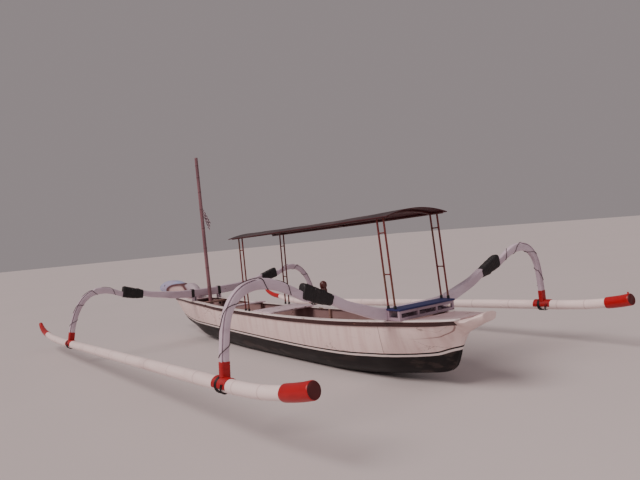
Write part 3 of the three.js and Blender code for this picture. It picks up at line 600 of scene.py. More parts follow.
arms = {
    "aft": {
        "root": -2.692, "foot": -2.714,
        "line": [
            [1190, 1020, 46], [1350, 1091, 80], [1530, 1172, 85], [1668, 1246, 88], [1831, 1318, 98],
            [1939, 1348, 106], [2045, 1357, 108], [2156, 1338, 104], [2240, 1296, 98],
            [2310, 1232, 92], [2362, 1150, 87], [2396, 1050, 85], [2423, 900, 84], [2441, 750, 83],
            [2453, 545, 82]],
    },
    "front": {
        "root": 2.722, "foot": 2.717,
        "line": [
            [1225, 931, 46], [1380, 966, 80], [1545, 1014, 85], [1640, 1055, 88], [1745, 1098, 96],
            [1850, 1124, 104], [1955, 1130, 108], [2060, 1108, 104], [2150, 1060, 98],
            [2235, 980, 92], [2308, 872, 87], [2370, 735, 85], [2420, 580, 84], [2465, 355, 82]],
    },
}
beam_wide, arm_wide, chock_wide, hewn_edge = 0.09, 0.06, 0.074, 0.016
lath_from, lath_thick, lath_gap = 0.46, 0.010, 0.015
for beam in beams.values():
    beam["curves"] = [column(beam["line"], k) for k in (1, 2, 3)]


def arm_course(end, way, share):
    """Place and depth of an arm at a share of its length, by curves through its rows."""
    rows = np.array(arms[end]["line"], float)
    run = length_along(rows[:, :2])
    y, z, deep = (line(np.stack([run, rows[:, k]], axis=1))(share * run[-1] / 1000) for k in range(3))
    first, last = rows[0, 0] / 1000, rows[-1, 0] / 1000
    x = arms[end]["root"] + (arms[end]["foot"] - arms[end]["root"]) * (y - first) / (last - first)
    return np.stack([x, way * y, z], axis=-1), deep


def arm_frame(end, way, share):
    """An arm's place, depth, and the unit directions fore and outward from its underside at shares."""
    place, deep = arm_course(end, way, share)
    ahead = unit(arm_course(end, way, share + 0.002)[0] - arm_course(end, way, share - 0.002)[0])
    fore = unit(np.array([1.0, 0.0, 0.0]) - ahead * ahead[:, :1])
    return place, deep, fore, way * np.cross(fore, ahead)


# The white of beams and arms is laid in a dull mauve grey: painted shade that they stand in.
beam_paint_shaded = painted(
    "beam_paint_shaded", (0.66, 0.54, 0.63), (0.36, 0.25, 0.31), (0.34, 0.22, 0.23), (1.0, 0.2, 0.6), 0.71)
for end, beam in beams.items():
    high, deep, back = beam["curves"]
    y = np.linspace(-beam["reach"] + 0.02, beam["reach"] - 0.02, 200)
    hewn = 0.0015 * np.sin(7.0 * y + 1.0) + 0.001 * np.sin(17.0 * y)
    cut_down = (beam["slimmer"] + 0.006) * np.clip((abs(y) - beam["lashed_from"] - 0.002) / 0.02, 0, 1)
    path = np.stack([beam["x"] - back(abs(y)) + hewn, y, high(abs(y)) - cut_down / 2], axis=1)
    body = carried(path, rounded(beam_wide + hewn, deep(abs(y)) - hewn - cut_down, hewn_edge))
    shells = [domed(body, 0.01)]
    seat = max(sheer(beam["x"] + step * beam_wide / 2) for step in (-1, 1)) + cap_top
    near, far = beam["chock"]
    for way, word in sides:
        foot = np.array([[beam["x"], way * (near + far) / 2, z] for z in (seat, seat + 0.02, high(far))])
        shells.append(carried(foot, rounded(chock_wide, far - near, 0.006)))
    piece(f"beam_{end}", shells, [beam_paint_shaded], "white_paint", f"cross_beam_{end}")
    for way, word in sides:
        share = np.linspace(0.0, 1.0, 220)
        path, deep, fore, up = arm_frame(end, way, share)
        under_lath = lath_gap * np.clip((share - lath_from) / 0.02, 0, 1)
        scarf = 2.2 * beam["slimmer"] * np.clip((1.50 - abs(path[:, 1])) / 0.28, 0, 1)
        left = np.maximum(deep - under_lath - 2 * scarf, 0.034)
        section = rounded(arm_wide + 0.002 * np.sin(23 * share), left, hewn_edge)
        body = laid(path - up * (under_lath / 2 - scarf)[:, None], fore, up, section)
        bent = share > lath_from + 0.02
        skin = (path + up * (deep[:, None] - lath_thick) / 2)[bent]
        lath = laid(skin, fore[bent], up[bent], rounded(arm_wide - 0.008, lath_thick, 0.0035))
        piece(f"arm_wood_{end}_{word}", [domed(body, 0.008), domed(lath, 0.003)], [beam_paint_shaded],
              "white_paint", f"arm_{end}_{word}")


# Beam lashings: strips cut from black inner tubes, wound tight round the beam's end and the arm's
# root, each strip half over the last
def rubber_look():
    look = Look("rubber_strip")
    fine = look.noise(60.0, detail=5.0)
    dust = look.between(look.noise(9.0, detail=4.0), 0.5, 0.75)
    tone = look.coats((0.008, 0.006, 0.007), (dust * 0.4, (0.045, 0.032, 0.034)))
    return look.shade(tone, fine * 0.3 + 0.38, fine, 0.0008)


def outward(section):
    """Unit directions square to a closed section's edge, pointing out of it."""
    edge = np.roll(section, -1, axis=1) - np.roll(section, 1, axis=1)
    edge /= np.maximum(np.linalg.norm(edge, axis=2, keepdims=True), 1e-9)
    return np.stack([edge[..., 1], -edge[..., 0]], axis=-1)


def strips(length, across, pitch, seed):
    """Height of overlapped strips, 0 to 1: a saw tooth along the length that slips by one turn once
    round, eased at its top, with a slow waver."""
    around = np.arange(across)[None] / across
    waver = 0.12 * np.sin(4 * np.pi * around + length[:, None] * 31 + seed)
    phase = (length[:, None] / pitch + around + waver) % 1.0
    return np.clip(phase * 3.2, 0, 1) ** 0.6 * (1 - 0.35 * phase) * np.clip((1 - phase) * 9, 0, 1)


rubber = rubber_look()
lashing_pitch, strip_thick, sunk, lump_at, lump_high = 0.027, 0.0055, 0.004, 1.30, 0.008
for end, beam in beams.items():
    high, deep, back = beam["curves"]
    arm_high, arm_deep = (column(arms[end]["line"], k) for k in (1, 2))
    first, last = beam["lashed_from"], beam["reach"] + 0.012
    y = np.linspace(first, last, 170)
    on_arm = np.maximum(y, arms[end]["line"][0][0] / 1000)
    on_beam = np.minimum(y, beam["reach"] - 0.02)
    taper = 1 + 2.2 * (last - y) / (last - first)
    top = high(on_beam) + deep(on_beam) / 2 - beam["slimmer"]
    low = arm_high(on_arm) - arm_deep(on_arm) / 2 + beam["slimmer"] * taper
    for way, word in sides:
        path = np.stack([beam["x"] - back(y), way * y, (top + low) / 2], axis=1)
        section = rounded(beam_wide + 0.004 + 0 * y, top - low, 0.03, 9, 7)
        out, count = outward(section), section.shape[1]
        lift = strips(y, count, lashing_pitch, way + beam["x"])
        around = 2 * np.pi * np.arange(count)[None] / count
        lump = lump_high * np.exp(-((y[:, None] - lump_at) / 0.03) ** 2) * (out[..., 1] > 0.7)
        lump = lump + 0.003 * np.sin(3 * around + 41 * y[:, None]) * np.sin(29 * y[:, None] + way)
        ends = np.clip(np.minimum(y - first, last - y) / 0.006, 0, 1)[:, None]
        thick = (0.002 + strip_thick * lift + lump) * ends - sunk * (1 - ends)
        section = section + out * thick[..., None]
        piece(f"lashing_{end}_{word}", [carried(path, section)], [rubber], "binding_rubber",
              f"beam_lashing_{end}_{word}", sharp=1.2)


# Floats: a long straight bamboo pole each, painted white, under a red cup at the rear and a red tip
# turned up at the front. Their rows are place, place to port, height and radius.
float_rows = [
    [-3800, 2398, 610, 60], [-3600, 2420, 580, 61], [-3300, 2446, 546, 62], [-3000, 2460, 527, 63],
    [-2714, 2465, 516, 65], [-2000, 2465, 491, 65], [-1000, 2465, 456, 64], [0, 2465, 421, 63],
    [1000, 2465, 386, 62], [2000, 2465, 351, 61], [2717, 2465, 326, 60], [3400, 2465, 305, 58],
    [4000, 2465, 305, 55], [4400, 2465, 330, 52]]
cup_rows = [[-3966, 2370, 652, 75], [-3820, 2393, 617, 74], [-3640, 2415, 587, 73]]
tip_rows = [
    [4400, 2465, 330, 52], [4620, 2465, 352, 49], [4800, 2465, 392, 44], [4920, 2465, 440, 38],
    [5000, 2465, 500, 30]]
float_girth = column(float_rows, 3)
front_from, front_run, front_shorter, front_higher = 2.9, 1.5, 0.32, 0.06


def shifted(x, way):
    """Places along the starboard pole, moved back by its share of the way along its front."""
    return x - (way < 0) * front_shorter * np.clip((x - front_from) / front_run, 0, 1)


def float_line(rows, way, x):
    """Middle of a pole: to starboard its front is shorter, and higher by the square of that share."""
    rows = np.array(rows, float)
    share = np.clip((rows[:, 0] / 1000 - front_from) / front_run, 0, 1)
    rows[:, 2] += (way < 0) * front_higher * 1000 * share**2
    rows[:, 0] = shifted(rows[:, 0] / 1000, way) * 1000
    return np.stack([x, way * column(rows, 1)(x), column(rows, 2)(x)], axis=-1)


def tube(path, radius, beside=(0.0, 0.0, 1.0), count=32, ahead=None):
    """Round rings along a path, each with its own radius. A ring is square to the direction ahead, and
    its first point is square to the direction beside as well."""
    ahead = unit(np.gradient(path, axis=0) if ahead is None else ahead)
    across = unit(np.cross(ahead, beside))
    up = np.cross(across, ahead)
    turn = np.linspace(0, 2 * np.pi, count, endpoint=False)[None, :, None]
    reach = np.broadcast_to(radius, len(path))[:, None, None]
    return path[:, None] + reach * (across[:, None] * np.cos(turn) + up[:, None] * np.sin(turn))


def pole(rows, way, x, radius):
    """Round rings about a pole's middle, square to its slope there."""
    ahead = float_line(rows, way, x + 0.001) - float_line(rows, way, x - 0.001)
    return tube(float_line(rows, way, x), radius, ahead=ahead)


def rod(start, end, radius, along, count=20):
    """A straight tube between two points, with rings at shares of its length."""
    path = start + (end - start) * np.asarray(along)[:, None]
    return tube(path, radius, (0.0, 1.0, 0.0), count)


def about_nodes(even, nodes, offsets):
    """Places along a bamboo pole, closer together at its nodes, and how far each is from one."""
    at = np.sort(np.concatenate([even, (nodes[:, None] + offsets).ravel()]))
    return at, abs(at[:, None] - nodes).min(axis=1)


def float_paint():
    """White paint on bamboo: faint grey rings at the nodes, streaks along the pole and soft stains."""
    look = Look("float_paint")
    streaks = look.noise(18.0, (0.06, 1.0, 1.0), 5.0)
    ring = look.attribute("node")
    # The white is laid pink: a painted cast of warm light.
    tone = look.coats(
        (0.95, 0.79, 0.77), (look.between(streaks, 0.45, 0.75) * 0.45, (0.72, 0.52, 0.50)),
        (look.between(look.noise(2.2), 0.5, 0.72) * 0.3, (0.60, 0.44, 0.44)),
        (ring * 0.45, (0.42, 0.30, 0.30)))
    return look.shade(tone, streaks * 0.3 + 0.22, streaks * 0.5 - ring, 0.001)


white_float = float_paint()
red_paint = painted(
    "red_paint", (0.46, 0.002, 0.006), (0.24, 0.003, 0.005), (0.14, 0.05, 0.045), (0.3, 1.0, 1.0), 0.72, 0.35)
# The cup's closed end is laid in a very dark red: painted shade of the end face turned from the light.
cup_end_painted_shade = painted(
    "cup_end_painted_shade", (0.095, 0.004, 0.006), (0.025, 0.006, 0.006), (0.05, 0.03, 0.02), rough=0.6)
float_nodes = np.array([-3.35, -2.95, -2.18, -1.52, -0.84, -0.2, 0.47, 1.12, 1.76, 2.36, 3.02, 3.6, 4.1])
cup_x = np.array([
    -3.636, -3.638, -3.644, -3.66, -3.75, -3.85, -3.945, -3.953, -3.959, -3.963, -3.966, -3.9675, -3.968])
cup_girth = np.array([61, 68, 72, 73, 73.5, 74, 75, 74.5, 73, 70, 62, 40, 12]) / 1000
cup_closed_from = 9
stud_girth = np.array([9, 9, 8, 10, 12, 11, 4]) / 1000
stud_foot, stud_tall = np.array([-3.925, -2.376, 0.717]), [0.0, 0.0, 0.022]
for way, word in sides:
    x, away = about_nodes(
        np.linspace(-3.78, 4.41, 260), float_nodes, np.array([-12, -6, -2, 2, 6, 12]) / 1000)
    ring = np.exp(-((away / 0.008) ** 2))
    radius = float_girth(x) + 0.0018 * np.exp(-((away / 0.02) ** 2)) - 0.0012 * ring
    rings = pole(float_rows, way, shifted(x, way), radius)
    piece(f"float_pole_{word}", [{"rings": rings, "attributes": {"node": ring[:, None]}}],
          [white_float], "white_paint", f"float_{word}")
    # The rings of the closed end take the very dark red of painted shade.
    kind = (np.arange(len(cup_x) - 1) >= cup_closed_from).astype(int)[:, None]
    shells = [{"rings": pole(cup_rows, way, cup_x, cup_girth), "kind": kind}]
    if way < 0:
        shells.append(rod(stud_foot, stud_foot + stud_tall, stud_girth, np.linspace(0, 1, 7), 16))
    piece(f"cup_{word}", shells, [red_paint, cup_end_painted_shade], "red_paint", f"float_cap_rear_{word}")
    x = np.concatenate([[4.386, 4.3865, 4.39], np.linspace(4.40, 4.985, 50)])
    radius = np.concatenate([[0.0505, 0.0535, 0.0545], column(tip_rows, 3)(x[3:]) + 0.001])
    rings = domed(pole(tip_rows, way, shifted(x, way), radius), 0.022, (False, True))
    piece(f"tip_{word}", [rings], [red_paint], "red_paint", f"float_tip_front_{word}")


# Foot bindings: red strips wound up the arm's leg and laid as a saddle over the float, tied down with
# black cord in a few turns beside the leg and two more that cross under the float
binding_reach, saddle_turn, cord_radius = 0.128, 112, 0.0045
binding_pitch, band_pitch, saddle_thin, saddle_ridge = 0.021, 0.032, 0.003, 0.006
shank_top = {"aft": 0.722, "front": 0.515}


def spokes(turn, way):
    """Directions square to a float, by their angle from the top toward the outside."""
    return np.stack([0 * turn, way * np.sin(turn), np.cos(turn)], axis=-1)


def wound(turn, x, lift, way):
    """A cord on the float: a tube along angles from the top and places, lifted off the pole's skin."""
    spoke = spokes(turn, way)
    course = float_line(float_rows, way, x) + (float_girth(x) + lift)[:, None] * spoke
    return tube(course, cord_radius, spoke, 8)


red_strip = painted(
    "red_strip", (0.42, 0.003, 0.007), (0.20, 0.004, 0.006), (0.10, 0.02, 0.02), worn=0.72, rough=0.5)
for end, arm in arms.items():
    for way, word in sides:
        foot_x = arm["foot"]
        pole_top = float_line(float_rows, way, np.array(foot_x))[2] + float_girth(foot_x)
        path, deep = arm_course(end, way, np.linspace(0.5, 1.0, 400))
        wanted = (path[:, 2] < shank_top[end]) & (path[:, 2] > pole_top - 0.02)
        path, deep = path[wanted][::2], deep[wanted][::2]
        run = length_along(path)
        section = rounded(arm_wide + 0.004, deep + 0.004, 0.018, 8, 6)
        lift = strips(run, section.shape[1], binding_pitch, way)
        edge = np.clip(run / 0.005, 0, 1)[:, None]
        thick = (0.0045 * lift + 0.0005) * edge - sunk * (1 - edge)
        section = section + outward(section) * thick[..., None]
        x = foot_x + np.linspace(-binding_reach, binding_reach, 130)[:, None]
        turn = np.linspace(-saddle_turn, saddle_turn, 50)[None]
        band = np.clip(abs(np.sin(np.pi * (x - foot_x) / band_pitch)) * 1.8, 0, 1)
        side_ease = np.clip((saddle_turn - abs(turn)) / 14, 0, 1) ** 0.5
        end_ease = np.clip((binding_reach - abs(x - foot_x)) / 0.006, 0, 1)
        thick = (saddle_thin + saddle_ridge * band) * side_ease * end_ease
        centre, spoke = float_line(float_rows, way, x), spokes(np.radians(turn), way)
        outer = centre + spoke * (float_girth(x) - 0.001 + thick)[..., None]
        inner = centre + spoke * (float_girth(x) - 0.003)[..., None]
        saddle = {"rings": np.concatenate([outer, inner[:, ::-1]], axis=1), "ends": "lens"}
        piece(f"binding_{end}_{word}", [carried(path, section), saddle], [red_strip], "red_binding",
              f"foot_binding_{end}_{word}", sharp=1.2)
        turns = np.linspace(0.0, 8 * np.pi, 260)
        cords = [wound(turns, foot_x + np.linspace(0.014, 0.052, 260), 0.0105, way)]
        below = np.radians(np.linspace(70, 290, 90))
        for fore, aft in ((0.050, -0.105), (0.030, -0.080)):
            across = foot_x + np.linspace(fore, aft, 90)
            cords += [wound(below, across, 0.0065, way), wound(-below, across, 0.012, way)]
        piece(f"binding_cord_{end}_{word}", cords, [rubber], "binding_rubber")


# Arm ropes: one thin dark rope wound up each arm from its foot to the beam, pulled taut, which holds the
# bent wood to its root. Each turn crosses the aft face, follows the outer edge and comes back below.
front_turns = [(0.265, 0.315), (0.457, 0.495), (0.638, 0.662), (0.792, 0.833)]
arm_turns = {
    "aft_port": [(0.272, 0.311), (0.419, 0.459), (0.626, 0.678), (0.836, 0.869)],
    "aft_starboard": [(0.272, 0.311), (0.378, 0.454), (0.569, 0.648), (0.761, 0.841)],
    "front_port": front_turns, "front_starboard": front_turns,
}
rope_radius = 0.0038


def rope_course(end, way, turns):
    """Centre line and outward directions of a rope wound on an arm. It is wound by corners: from the
    aft face's inner edge to its outer one, over to the fore face, down it and back below."""
    share, corner = [], np.arange(4 * len(turns))
    for k, (enters, leaves) in enumerate(turns):
        gap = (turns[k + 1][0] if k + 1 < len(turns) else leaves + 0.04) - leaves
        share += [enters, leaves, leaves + 0.62 * gap, leaves + 0.85 * gap]
    fine = np.linspace(0, len(share) - 1, 60 * len(share))
    share, corner = (np.interp(fine, np.arange(len(share)), given) for given in (share, corner))
    place, deep, fore, up = arm_frame(end, way, share)
    ring = rounded(arm_wide + 2 * rope_radius + 0 * deep, deep + 2 * rope_radius, 0.022, 9, 8)
    count = ring.shape[1]
    index = (4 + (2 - corner) * (count // 4)) % count
    low = np.floor(index).astype(int)
    part = (index - low)[:, None]
    rows = np.arange(len(ring))
    flat = ring[rows, low % count] * (1 - part) + ring[rows, (low + 1) % count] * part
    offset = fore * flat[:, :1] + up * flat[:, 1:]
    return place + offset, unit(offset)


def rope_look():
    """Laid dark rope: fine fibres and a slow fade of dust."""
    look = Look("dark_rope")
    fibre, dust = look.noise(160.0), look.noise(5.0, detail=3.0)
    tone = look.coats(
        (0.030, 0.018, 0.018), (look.between(dust, 0.4, 0.7) * 0.5, (0.09, 0.06, 0.055)),
        (look.between(fibre, 0.45, 0.7) * 0.5, (0.012, 0.008, 0.008)))
    return look.shade(tone, 0.8, fibre, 0.001)


dark_rope = rope_look()
for key, turns in arm_turns.items():
    end, word = key.split("_")
    course, outside = rope_course(end, 1 if word == "port" else -1, turns)
    piece(f"arm_rope_{key}", [tube(course, rope_radius, outside, 8)], [dark_rope], "binding_rubber")


# Beam straps: a black rubber band drawn twice round the front beam beside each chock, with its tail
# led down the inside of the plank
strap_wide, strap_thick = 0.060, 0.007
beam = beams["front"]
high, deep = beam["curves"][:2]
for (way, word), strap_y in zip(sides, (0.288, 0.250)):
    y = np.linspace(strap_y - strap_wide / 2, strap_y + strap_wide / 2, 24)
    middle = np.stack([beam["x"] + 0 * y, way * y, high(y)], axis=1)
    section = rounded(beam_wide + 0 * y, deep(y), 0.017, 7, 5)
    ridge = 0.0035 + 0.004 * abs(np.sin(2 * np.pi * (y - y[0]) / strap_wide)) ** 0.5
    ridge[[0, -1]] = -0.003
    band = carried(middle, section + outward(section) * ridge[:, None, None])
    z = np.linspace(0.60, 0.80, 30)
    x = beam["x"] - 0.03 + 0 * z
    at = np.stack([x, way * (hull_side(x, z, side_wall, floor_wall) - 0.008), z], axis=1)
    tail = carried(at, rounded(0.052 + 0.003 * np.sin(40 * z), strap_thick + 0 * z, 0.003, 4))
    piece(f"beam_strap_{word}", [band, domed(tail, 0.003)], [rubber], "binding_rubber", sharp=1.2)


# Roof: painted sheet over three bent ribs and two long rails, dark with weather above and red-brown
# below. It is cambered and tapers a little toward the bow.
roof_ridge = line([[-2862, 1968], [-1200, 1904], [830, 1868]])
roof_camber = line([[-2862, 71], [-1200, 56], [830, 80]])
roof_ends, camber_half = (-2.862, 0.830), 0.48
roof_thick, timber_deep, rail_half, seam_pitch = 0.009, 0.024, 0.013, 0.62


def along_roof(x, aft, fore):
    """A straight taper from the roof's aft end to its fore end."""
    return aft + (fore - aft) * (x - roof_ends[0]) / (roof_ends[1] - roof_ends[0])


def rail_y(x):
    return along_roof(x, 0.428, 0.374)


def roof_height(x, y):
    """Ridge less camber times the square of the share of the aft half breadth."""
    return roof_ridge(x) - roof_camber(x) * (y / camber_half) ** 2


def roof_look():
    """Weathered grey-brown on top, told by the face's upward normal, red-brown paint beneath; seams
    at an even pitch across the sheet."""
    look = Look("roof_sheet_paint")
    above = look.between(look.axis("Z", look.node("ShaderNodeNewGeometry", output="Normal")), 0.0, 0.3)
    blotch, fine = look.noise(2.4, detail=6.0), look.noise(40.0, (0.4, 1.0, 1.0), 5.0)
    seam_line = 1 - look.between(abs((look.axis("X") * (np.pi / seam_pitch)).sine()), 0.0, 0.03)
    top = look.coats(
        (0.036, 0.022, 0.026), (look.between(blotch, 0.38, 0.68), (0.085, 0.054, 0.058)),
        (look.between(fine, 0.55, 0.75) * 0.4, (0.14, 0.09, 0.09)), (seam_line * 0.7, (0.03, 0.02, 0.02)))
    under = look.coats((0.075, 0.010, 0.016), (look.between(blotch, 0.4, 0.7), (0.045, 0.009, 0.013)))
    return look.shade(
        look.coats(under, (above, top)), fine * 0.3 + 0.5, fine * 0.6 + blotch * 0.4 - seam_line, 0.002)


timber_paint = painted(
    "timber_paint", (0.065, 0.010, 0.012), (0.11, 0.03, 0.03), (0.20, 0.10, 0.08), (0.3, 1.0, 1.0), 0.66)
x = np.linspace(*roof_ends, 90)[:, None]
y = np.linspace(-1, 1, 61)[None] * along_roof(x, 0.480, 0.440)
top = np.stack([x + 0 * y, y, roof_height(x, y)], axis=-1)
sheet = np.concatenate([top, (top - [0, 0, roof_thick])[:, ::-1]], axis=1)
sheet[:, :, 2] += 0.0015 * np.sin(9.0 * sheet[:, :, 0]) * np.cos(5.0 * sheet[:, :, 1])
piece("roof_cover", [{"rings": sheet, "ends": "lens"}], [roof_look()], "roof_sheet", "roof_sheet")
timber = rounded(2 * rail_half, timber_deep, 0.004, 4)
timber_down = roof_thick + timber_deep / 2 + 0.001
for way, word in sides:
    x = np.linspace(-2.836, 0.804, 90)
    path = np.stack([x, way * rail_y(x), roof_height(x, rail_y(x)) - timber_down], axis=1)
    piece(f"long_rail_{word}", [domed(carried(path, timber, (0.0, 1.0, 0.0)), 0.004)], [timber_paint],
          "roof_timber", f"roof_rail_{word}")
for word, place in (("rear", -2.66), ("middle", -1.05), ("front", 0.51)):
    y = np.linspace(-1, 1, 70) * (rail_y(place + rail_half) - rail_half - 0.001)
    path = np.stack([place + 0 * y, y, roof_height(place, y) - timber_down], axis=1)
    piece(f"bent_rib_{word}", [carried(path, timber)], [timber_paint], "roof_timber", f"roof_rib_{word}")


# Ladder posts: two rusty tubes side by side with two welded rungs, from the bench or the gunwale cap
# up to the roof, each tied down at its foot with black rubber
def rust_look():
    look = Look("rusty_tube_paint")
    broad, fine = look.noise(7.0, (1.0, 1.0, 0.4), 6.0), look.noise(70.0, detail=5.0)
    flakes = look.between(broad, 0.5, 0.6)
    tone = look.coats(
        (0.15, 0.016, 0.016), (flakes, (0.13, 0.042, 0.024)),
        (look.between(fine, 0.52, 0.72) * 0.6, (0.05, 0.015, 0.013)))
    return look.shade(tone, fine * 0.35 + 0.35, fine * 0.7 + flakes * 0.5, 0.0012, Metallic=0.1)


rust = rust_look()
tube_radius, tube_half, bench_seat = 0.011, 0.053, 0.8883
posts = {
    "rear": {"foot": (-2.764, 0.427, bench_seat), "head": (-2.697, 0.426), "rungs": (0.16, 0.62)},
    "front": {"foot": (0.539, 0.368, float(sheer(0.603)) + cap_top), "head": (0.547, 0.378),
              "rungs": (0.16, 0.6)},
}
tie_up = np.linspace(0.0, 0.033, 44)
tie_girth = 0.0125 + 0.0050 * abs(np.sin(np.pi * tie_up / 0.011)) ** 0.5
tie_girth[[0, -1]] = 0.010
rung_at = np.array([0, 0.10, 0.13, 0.16, 0.2, 0.8, 0.84, 0.87, 0.9, 1.0])
rung_girth = np.array([11, 13, 11.5, 8.5, 7, 7, 8.5, 11.5, 13, 11]) / 1000
for place, post in posts.items():
    (foot_x, foot_y, foot_z), (head_x, head_y) = post["foot"], post["head"]
    for way, word in sides:
        shells, ties, tubes = [], [], []
        for step in (-tube_half, tube_half):
            head_z = float(roof_height(head_x + step, head_y)) - roof_thick - timber_deep
            low = np.array([foot_x + step, way * foot_y, foot_z])
            high = np.array([head_x + step, way * head_y, head_z])
            tubes.append((low, high))
            shells.append(rod(low, high, tube_radius, np.linspace(0, 1, 40)))
            ties.append(rod(low, high, tie_girth, (tie_up + 0.001) / np.linalg.norm(high - low), 24))
        for down in post["rungs"]:
            a, b = (high + (low - high) * down for low, high in tubes)
            shells.append(rod(a, b, rung_girth, rung_at, 16))
        piece(f"post_{place}_{word}", shells, [rust], "rusty_tube", f"ladder_post_{place}_{word}")
        piece(f"post_ties_{place}_{word}", ties, [rubber], "binding_rubber", sharp=1.2)


# Mast: a bamboo pole with its nodes, slightly bent and leaning forward, stepped on the floor and held
# by a thwart
def bamboo_look():
    look = Look("bamboo_pole")
    fibre = look.noise(60.0, (1.0, 1.0, 0.05), 5.0)
    ring = look.attribute("node")
    tone = look.coats(
        (0.27, 0.13, 0.15), (look.between(look.noise(3.0, (1.0, 1.0, 0.6)), 0.4, 0.7), (0.17, 0.075, 0.095)),
        (look.between(fibre, 0.5, 0.72) * 0.5, (0.11, 0.045, 0.055)), (ring * 0.8, (0.10, 0.04, 0.045)))
    return look.shade(tone, fibre * 0.3 + 0.3, fibre * 0.5 - ring * 0.6, 0.001)


mast_foot, mast_head = np.array([2.555, 0.0, 0.1503]), np.array([2.650, 0.0, 3.365])
mast_nodes = np.array([0.055, 0.15, 0.25, 0.36, 0.475, 0.59, 0.70, 0.80, 0.885, 0.955])
share, away = about_nodes(
    np.linspace(0, 1, 120), mast_nodes, np.array([-4, -2.5, -1.2, -0.5, 0, 0.5, 1.2, 2.5, 4]) / 1000)
away = away * 3.2
ring = np.exp(-((away / 0.006) ** 2))
radius = 0.0355 - 0.007 * share + 0.0025 * np.exp(-((away / 0.012) ** 2)) - 0.0015 * ring
bent = rod(mast_foot, mast_head, radius, share, 28)
bent[:, :, 0] += (0.006 * np.sin(np.pi * share))[:, None]
up_only = (False, True)
piece("mast_bamboo", [{
    "rings": domed(bent, 0.006, up_only), "attributes": {"node": domed_marks(ring[:, None], up_only)},
}], [bamboo_look()], "mast_pole", "mast")


# Flag: a small light cotton cloth with plain dark stripes, tied to the mast by its hoist and hanging
# in narrow folds with no wind
flag_fly, flag_hoist, flag_top, stripe_pitch, thread_pitch = 0.37, 0.175, 2.408, 0.056, 0.0024


def flag_look():
    look = Look("flag_cotton")
    across, down = look.attribute("fly"), look.attribute("drop")
    weave = [(way * (2 * np.pi / thread_pitch)).sine() * 0.5 for way in (across, down)]
    wave = (down * (2 * np.pi / stripe_pitch) - 1.2).sine()
    tone = look.coats(
        (0.80, 0.70, 0.74), (look.between(look.noise(14.0), 0.45, 0.75) * 0.5, (0.52, 0.42, 0.46)),
        (look.between(wave, 0.15, 0.35) * 0.9, (0.085, 0.025, 0.045)))
    return look.shade(tone, 0.85, weave[0] + weave[1], 0.0003)


off_mast, along_fold = np.array([-0.6, -0.8]), np.array([0.8, -0.6])
share = np.linspace(0, 1, 600)[:, None]
fold = 0.0185 * np.sin(2 * np.pi * 4.2 * share) * np.clip(share * 6, 0, 1)
plan = (0.034 + 0.112 * share**0.95) * off_mast + fold * along_fold
run = length_along(plan)
even = np.linspace(0, run[-1], 160)
plan = np.stack([np.interp(even, run, plan[:, k]) for k in (0, 1)], axis=1)
share = (even / run[-1])[:, None]
hoist = np.linspace(0, flag_hoist, 40)[None]
height = flag_top - hoist - 0.252 * share**0.9
mast_x = 2.555 + 0.095 * (flag_top - 0.15) / 3.215
swing = 0.035 * share * hoist / flag_hoist
cloth = np.stack([
    mast_x + plan[:, :1] - off_mast[0] * swing, plan[:, 1:] - off_mast[1] * swing, height], axis=-1)
index = np.arange(height.size).reshape(height.shape)
mesh = bpy.data.meshes.new("flag_cloth")
mesh.from_pydata(cloth.reshape(-1, 3).tolist(), [], np.stack(
    [index[:-1, :-1], index[1:, :-1], index[1:, 1:], index[:-1, 1:]], axis=-1).reshape(-1, 4).tolist())
mark(mesh, "fly", share * flag_fly + 0 * height)
mark(mesh, "drop", hoist + 0 * height)
mesh.polygons.foreach_set("use_smooth", np.ones(len(mesh.polygons), bool))
mesh.materials.append(flag_look())
flag = in_scene("flag_cloth", mesh)
thickness = flag.modifiers.new("thickness", "SOLIDIFY")
thickness.thickness, thickness.offset = 0.0012, 0.0
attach(flag, "root")
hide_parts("flag")


# Bow head: an animal's head carved in wood over the stem, blunt and broad, painted pale blue with
# a red-brown arch on each cheek and salmon pink inside it, which is painted shade. Its rows are place,
# underside ahead of the stem, crown and half breadth.
head_rows = [
    [3020, 0, 830, 50], [3148, 0, 945, 88], [3290, 0, 1002, 106], [3404, 0, 1008, 114],
    [3520, 0, 986, 120], [3636, 0, 962, 132], [3858, 0, 1012, 160], [4032, 0, 1038, 170],
    [4195, 688, 1046, 170], [4400, 716, 1040, 164], [4600, 745, 1014, 146], [4790, 800, 962, 106]]
cap_end, stem_end = 3.858, 4.195


def head_look():
    look = Look("head_paint")
    grain, patch = look.noise(18.0, (0.3, 1.0, 1.0), 6.0), look.noise(4.0)
    back = 1 - look.between(look.axis("X"), 3.45, 3.75)
    # Salmon pink inside each arch is painted shade on the cheek.
    tone = look.coats(
        (0.38, 0.43, 0.66), (look.between(patch, 0.4, 0.7), (0.42, 0.38, 0.54)), (back, (0.47, 0.39, 0.44)),
        (look.between(grain, 0.52, 0.72) * 0.4, (0.40, 0.33, 0.38)),
        (look.attribute("cheek"), (0.60, 0.40, 0.36)), (look.attribute("brow"), (0.10, 0.028, 0.03)),
        (look.attribute("dark"), (0.03, 0.02, 0.022)))
    return look.shade(tone, grain * 0.3 + 0.35, grain, 0.002)


